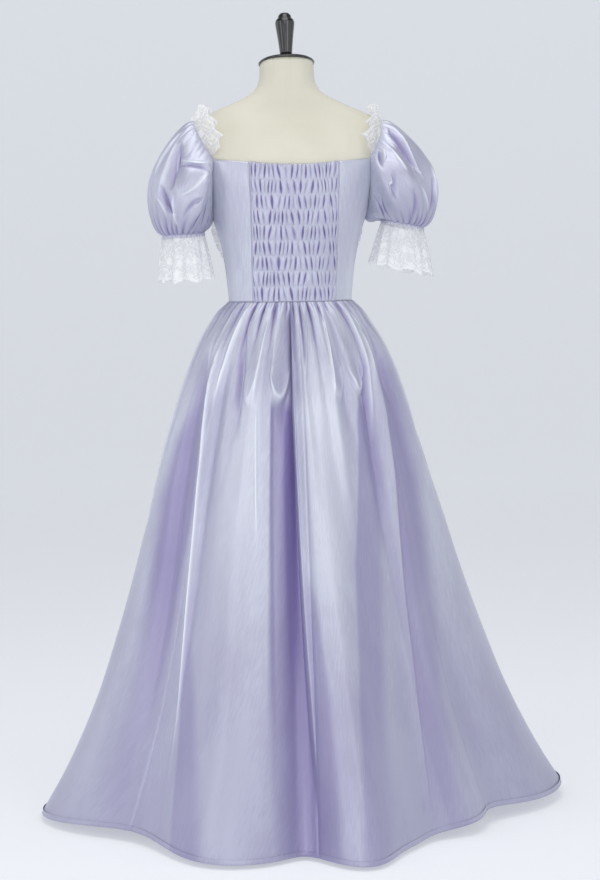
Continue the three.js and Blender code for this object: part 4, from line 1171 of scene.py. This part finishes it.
# Each light's name, place, the height over the middle that it faces, size in metres, power and colour
LIGHTS = [
    ("key_left", (1.8, 3.4, 1.5), 1.0, (1.0, 1.6), 12.7, (0.96, 0.99, 1)),
    ("low", (0.4, 3.6, 0.5), 0.8, (1.8, 0.7), 10, WHITE),
    ("high", (0.3, 3.2, 3.0), 1.1, (1.6, 1.2), 8.5, WHITE),
    ("high_right", (-1.5, 3.0, 2.6), 1.0, (1.2, 1.4), 11.8, WHITE),
    ("side_left", (3.0, 1.6, 1.6), 0.9, (1.0, 2.4), 12.2, WHITE),
    ("side_right", (-3.0, 1.6, 1.6), 0.9, (1.0, 2.4), 4.5, WHITE),
    ("top", (0, 0.6, 4.2), 0.8, (2.6, 2.6), 58, WHITE),
    ("rim_left", (3.0, -1.2, 1.7), 0.9, (0.7, 2.4), 5.5, WHITE),
]
# The camera's focal length and the picture's height in pixels, and how far it aims off the middle
FOCAL_PIXELS = 2345
PICTURE_PIXELS = 880
AIM = 7.5 / FOCAL_PIXELS


def build_studio():
    material = shader(
        "studio_paper", Base_Color=(0.52, 0.525, 0.53, 1), Roughness=0.9,
        Emission_Color=(*PAPER_TINT, 1), Emission_Strength=STUDIO_GLOW,
    )[0]
    profile = [(0.0, 0.0), (3000.0, 0.0)]
    for step in range(13):
        angle = math.pi / 2 * step / 12
        run = STUDIO_REACH - STUDIO_BEND + STUDIO_BEND * math.sin(angle)
        profile.append((run, STUDIO_BEND - STUDIO_BEND * math.cos(angle)))
    profile.append((STUDIO_REACH, STUDIO_TOP))
    floor = lathe("studio_floor", profile, 96)
    floor.data.materials.append(material)

    world = bpy.data.worlds.new("studio_air")
    world.use_nodes = True
    background = world.node_tree.nodes["Background"]
    background.inputs["Color"].default_value = (*PAPER_TINT, 1)
    background.inputs["Strength"].default_value = AIR_GLOW
    bpy.context.scene.world = world

    for name, place, aim, size, power, color in LIGHTS:
        light = bpy.data.lights.new("softbox_" + name, "AREA")
        light.shape = "RECTANGLE"
        light.size, light.size_y = size
        light.energy = power
        light.color = color
        lamp = bpy.data.objects.new("softbox_" + name, light)
        lamp.location = place
        lamp.visible_camera = False
        lamp.rotation_euler = (Vector((0, 0, aim)) - Vector(place)).to_track_quat("-Z", "Y").to_euler()
        bpy.context.scene.collection.objects.link(lamp)

    camera = bpy.data.cameras.new("camera")
    camera.sensor_width = 36.0
    camera.lens = 36.0 * FOCAL_PIXELS / PICTURE_PIXELS
    camera.clip_end = 60
    view = bpy.data.objects.new("camera", camera)
    azimuth, pitch, roll, distance, height = math.radians(173), 4.34, -0.8, 4.6, 1.08
    place = Vector((distance * math.sin(azimuth), -distance * math.cos(azimuth), height))
    heading = math.atan2(place.x, -place.y) - AIM
    towards = Vector((-math.sin(heading), math.cos(heading), -math.tan(math.radians(pitch))))
    rotation = towards.to_track_quat("-Z", "Y").to_matrix().to_4x4()
    view.matrix_world = Matrix.Translation(place) @ rotation @ Matrix.Rotation(math.radians(roll), 4, "Z")
    bpy.context.scene.collection.objects.link(view)
    bpy.context.scene.camera = view
    bpy.context.scene.view_settings.view_transform = "Standard"


build_studio()
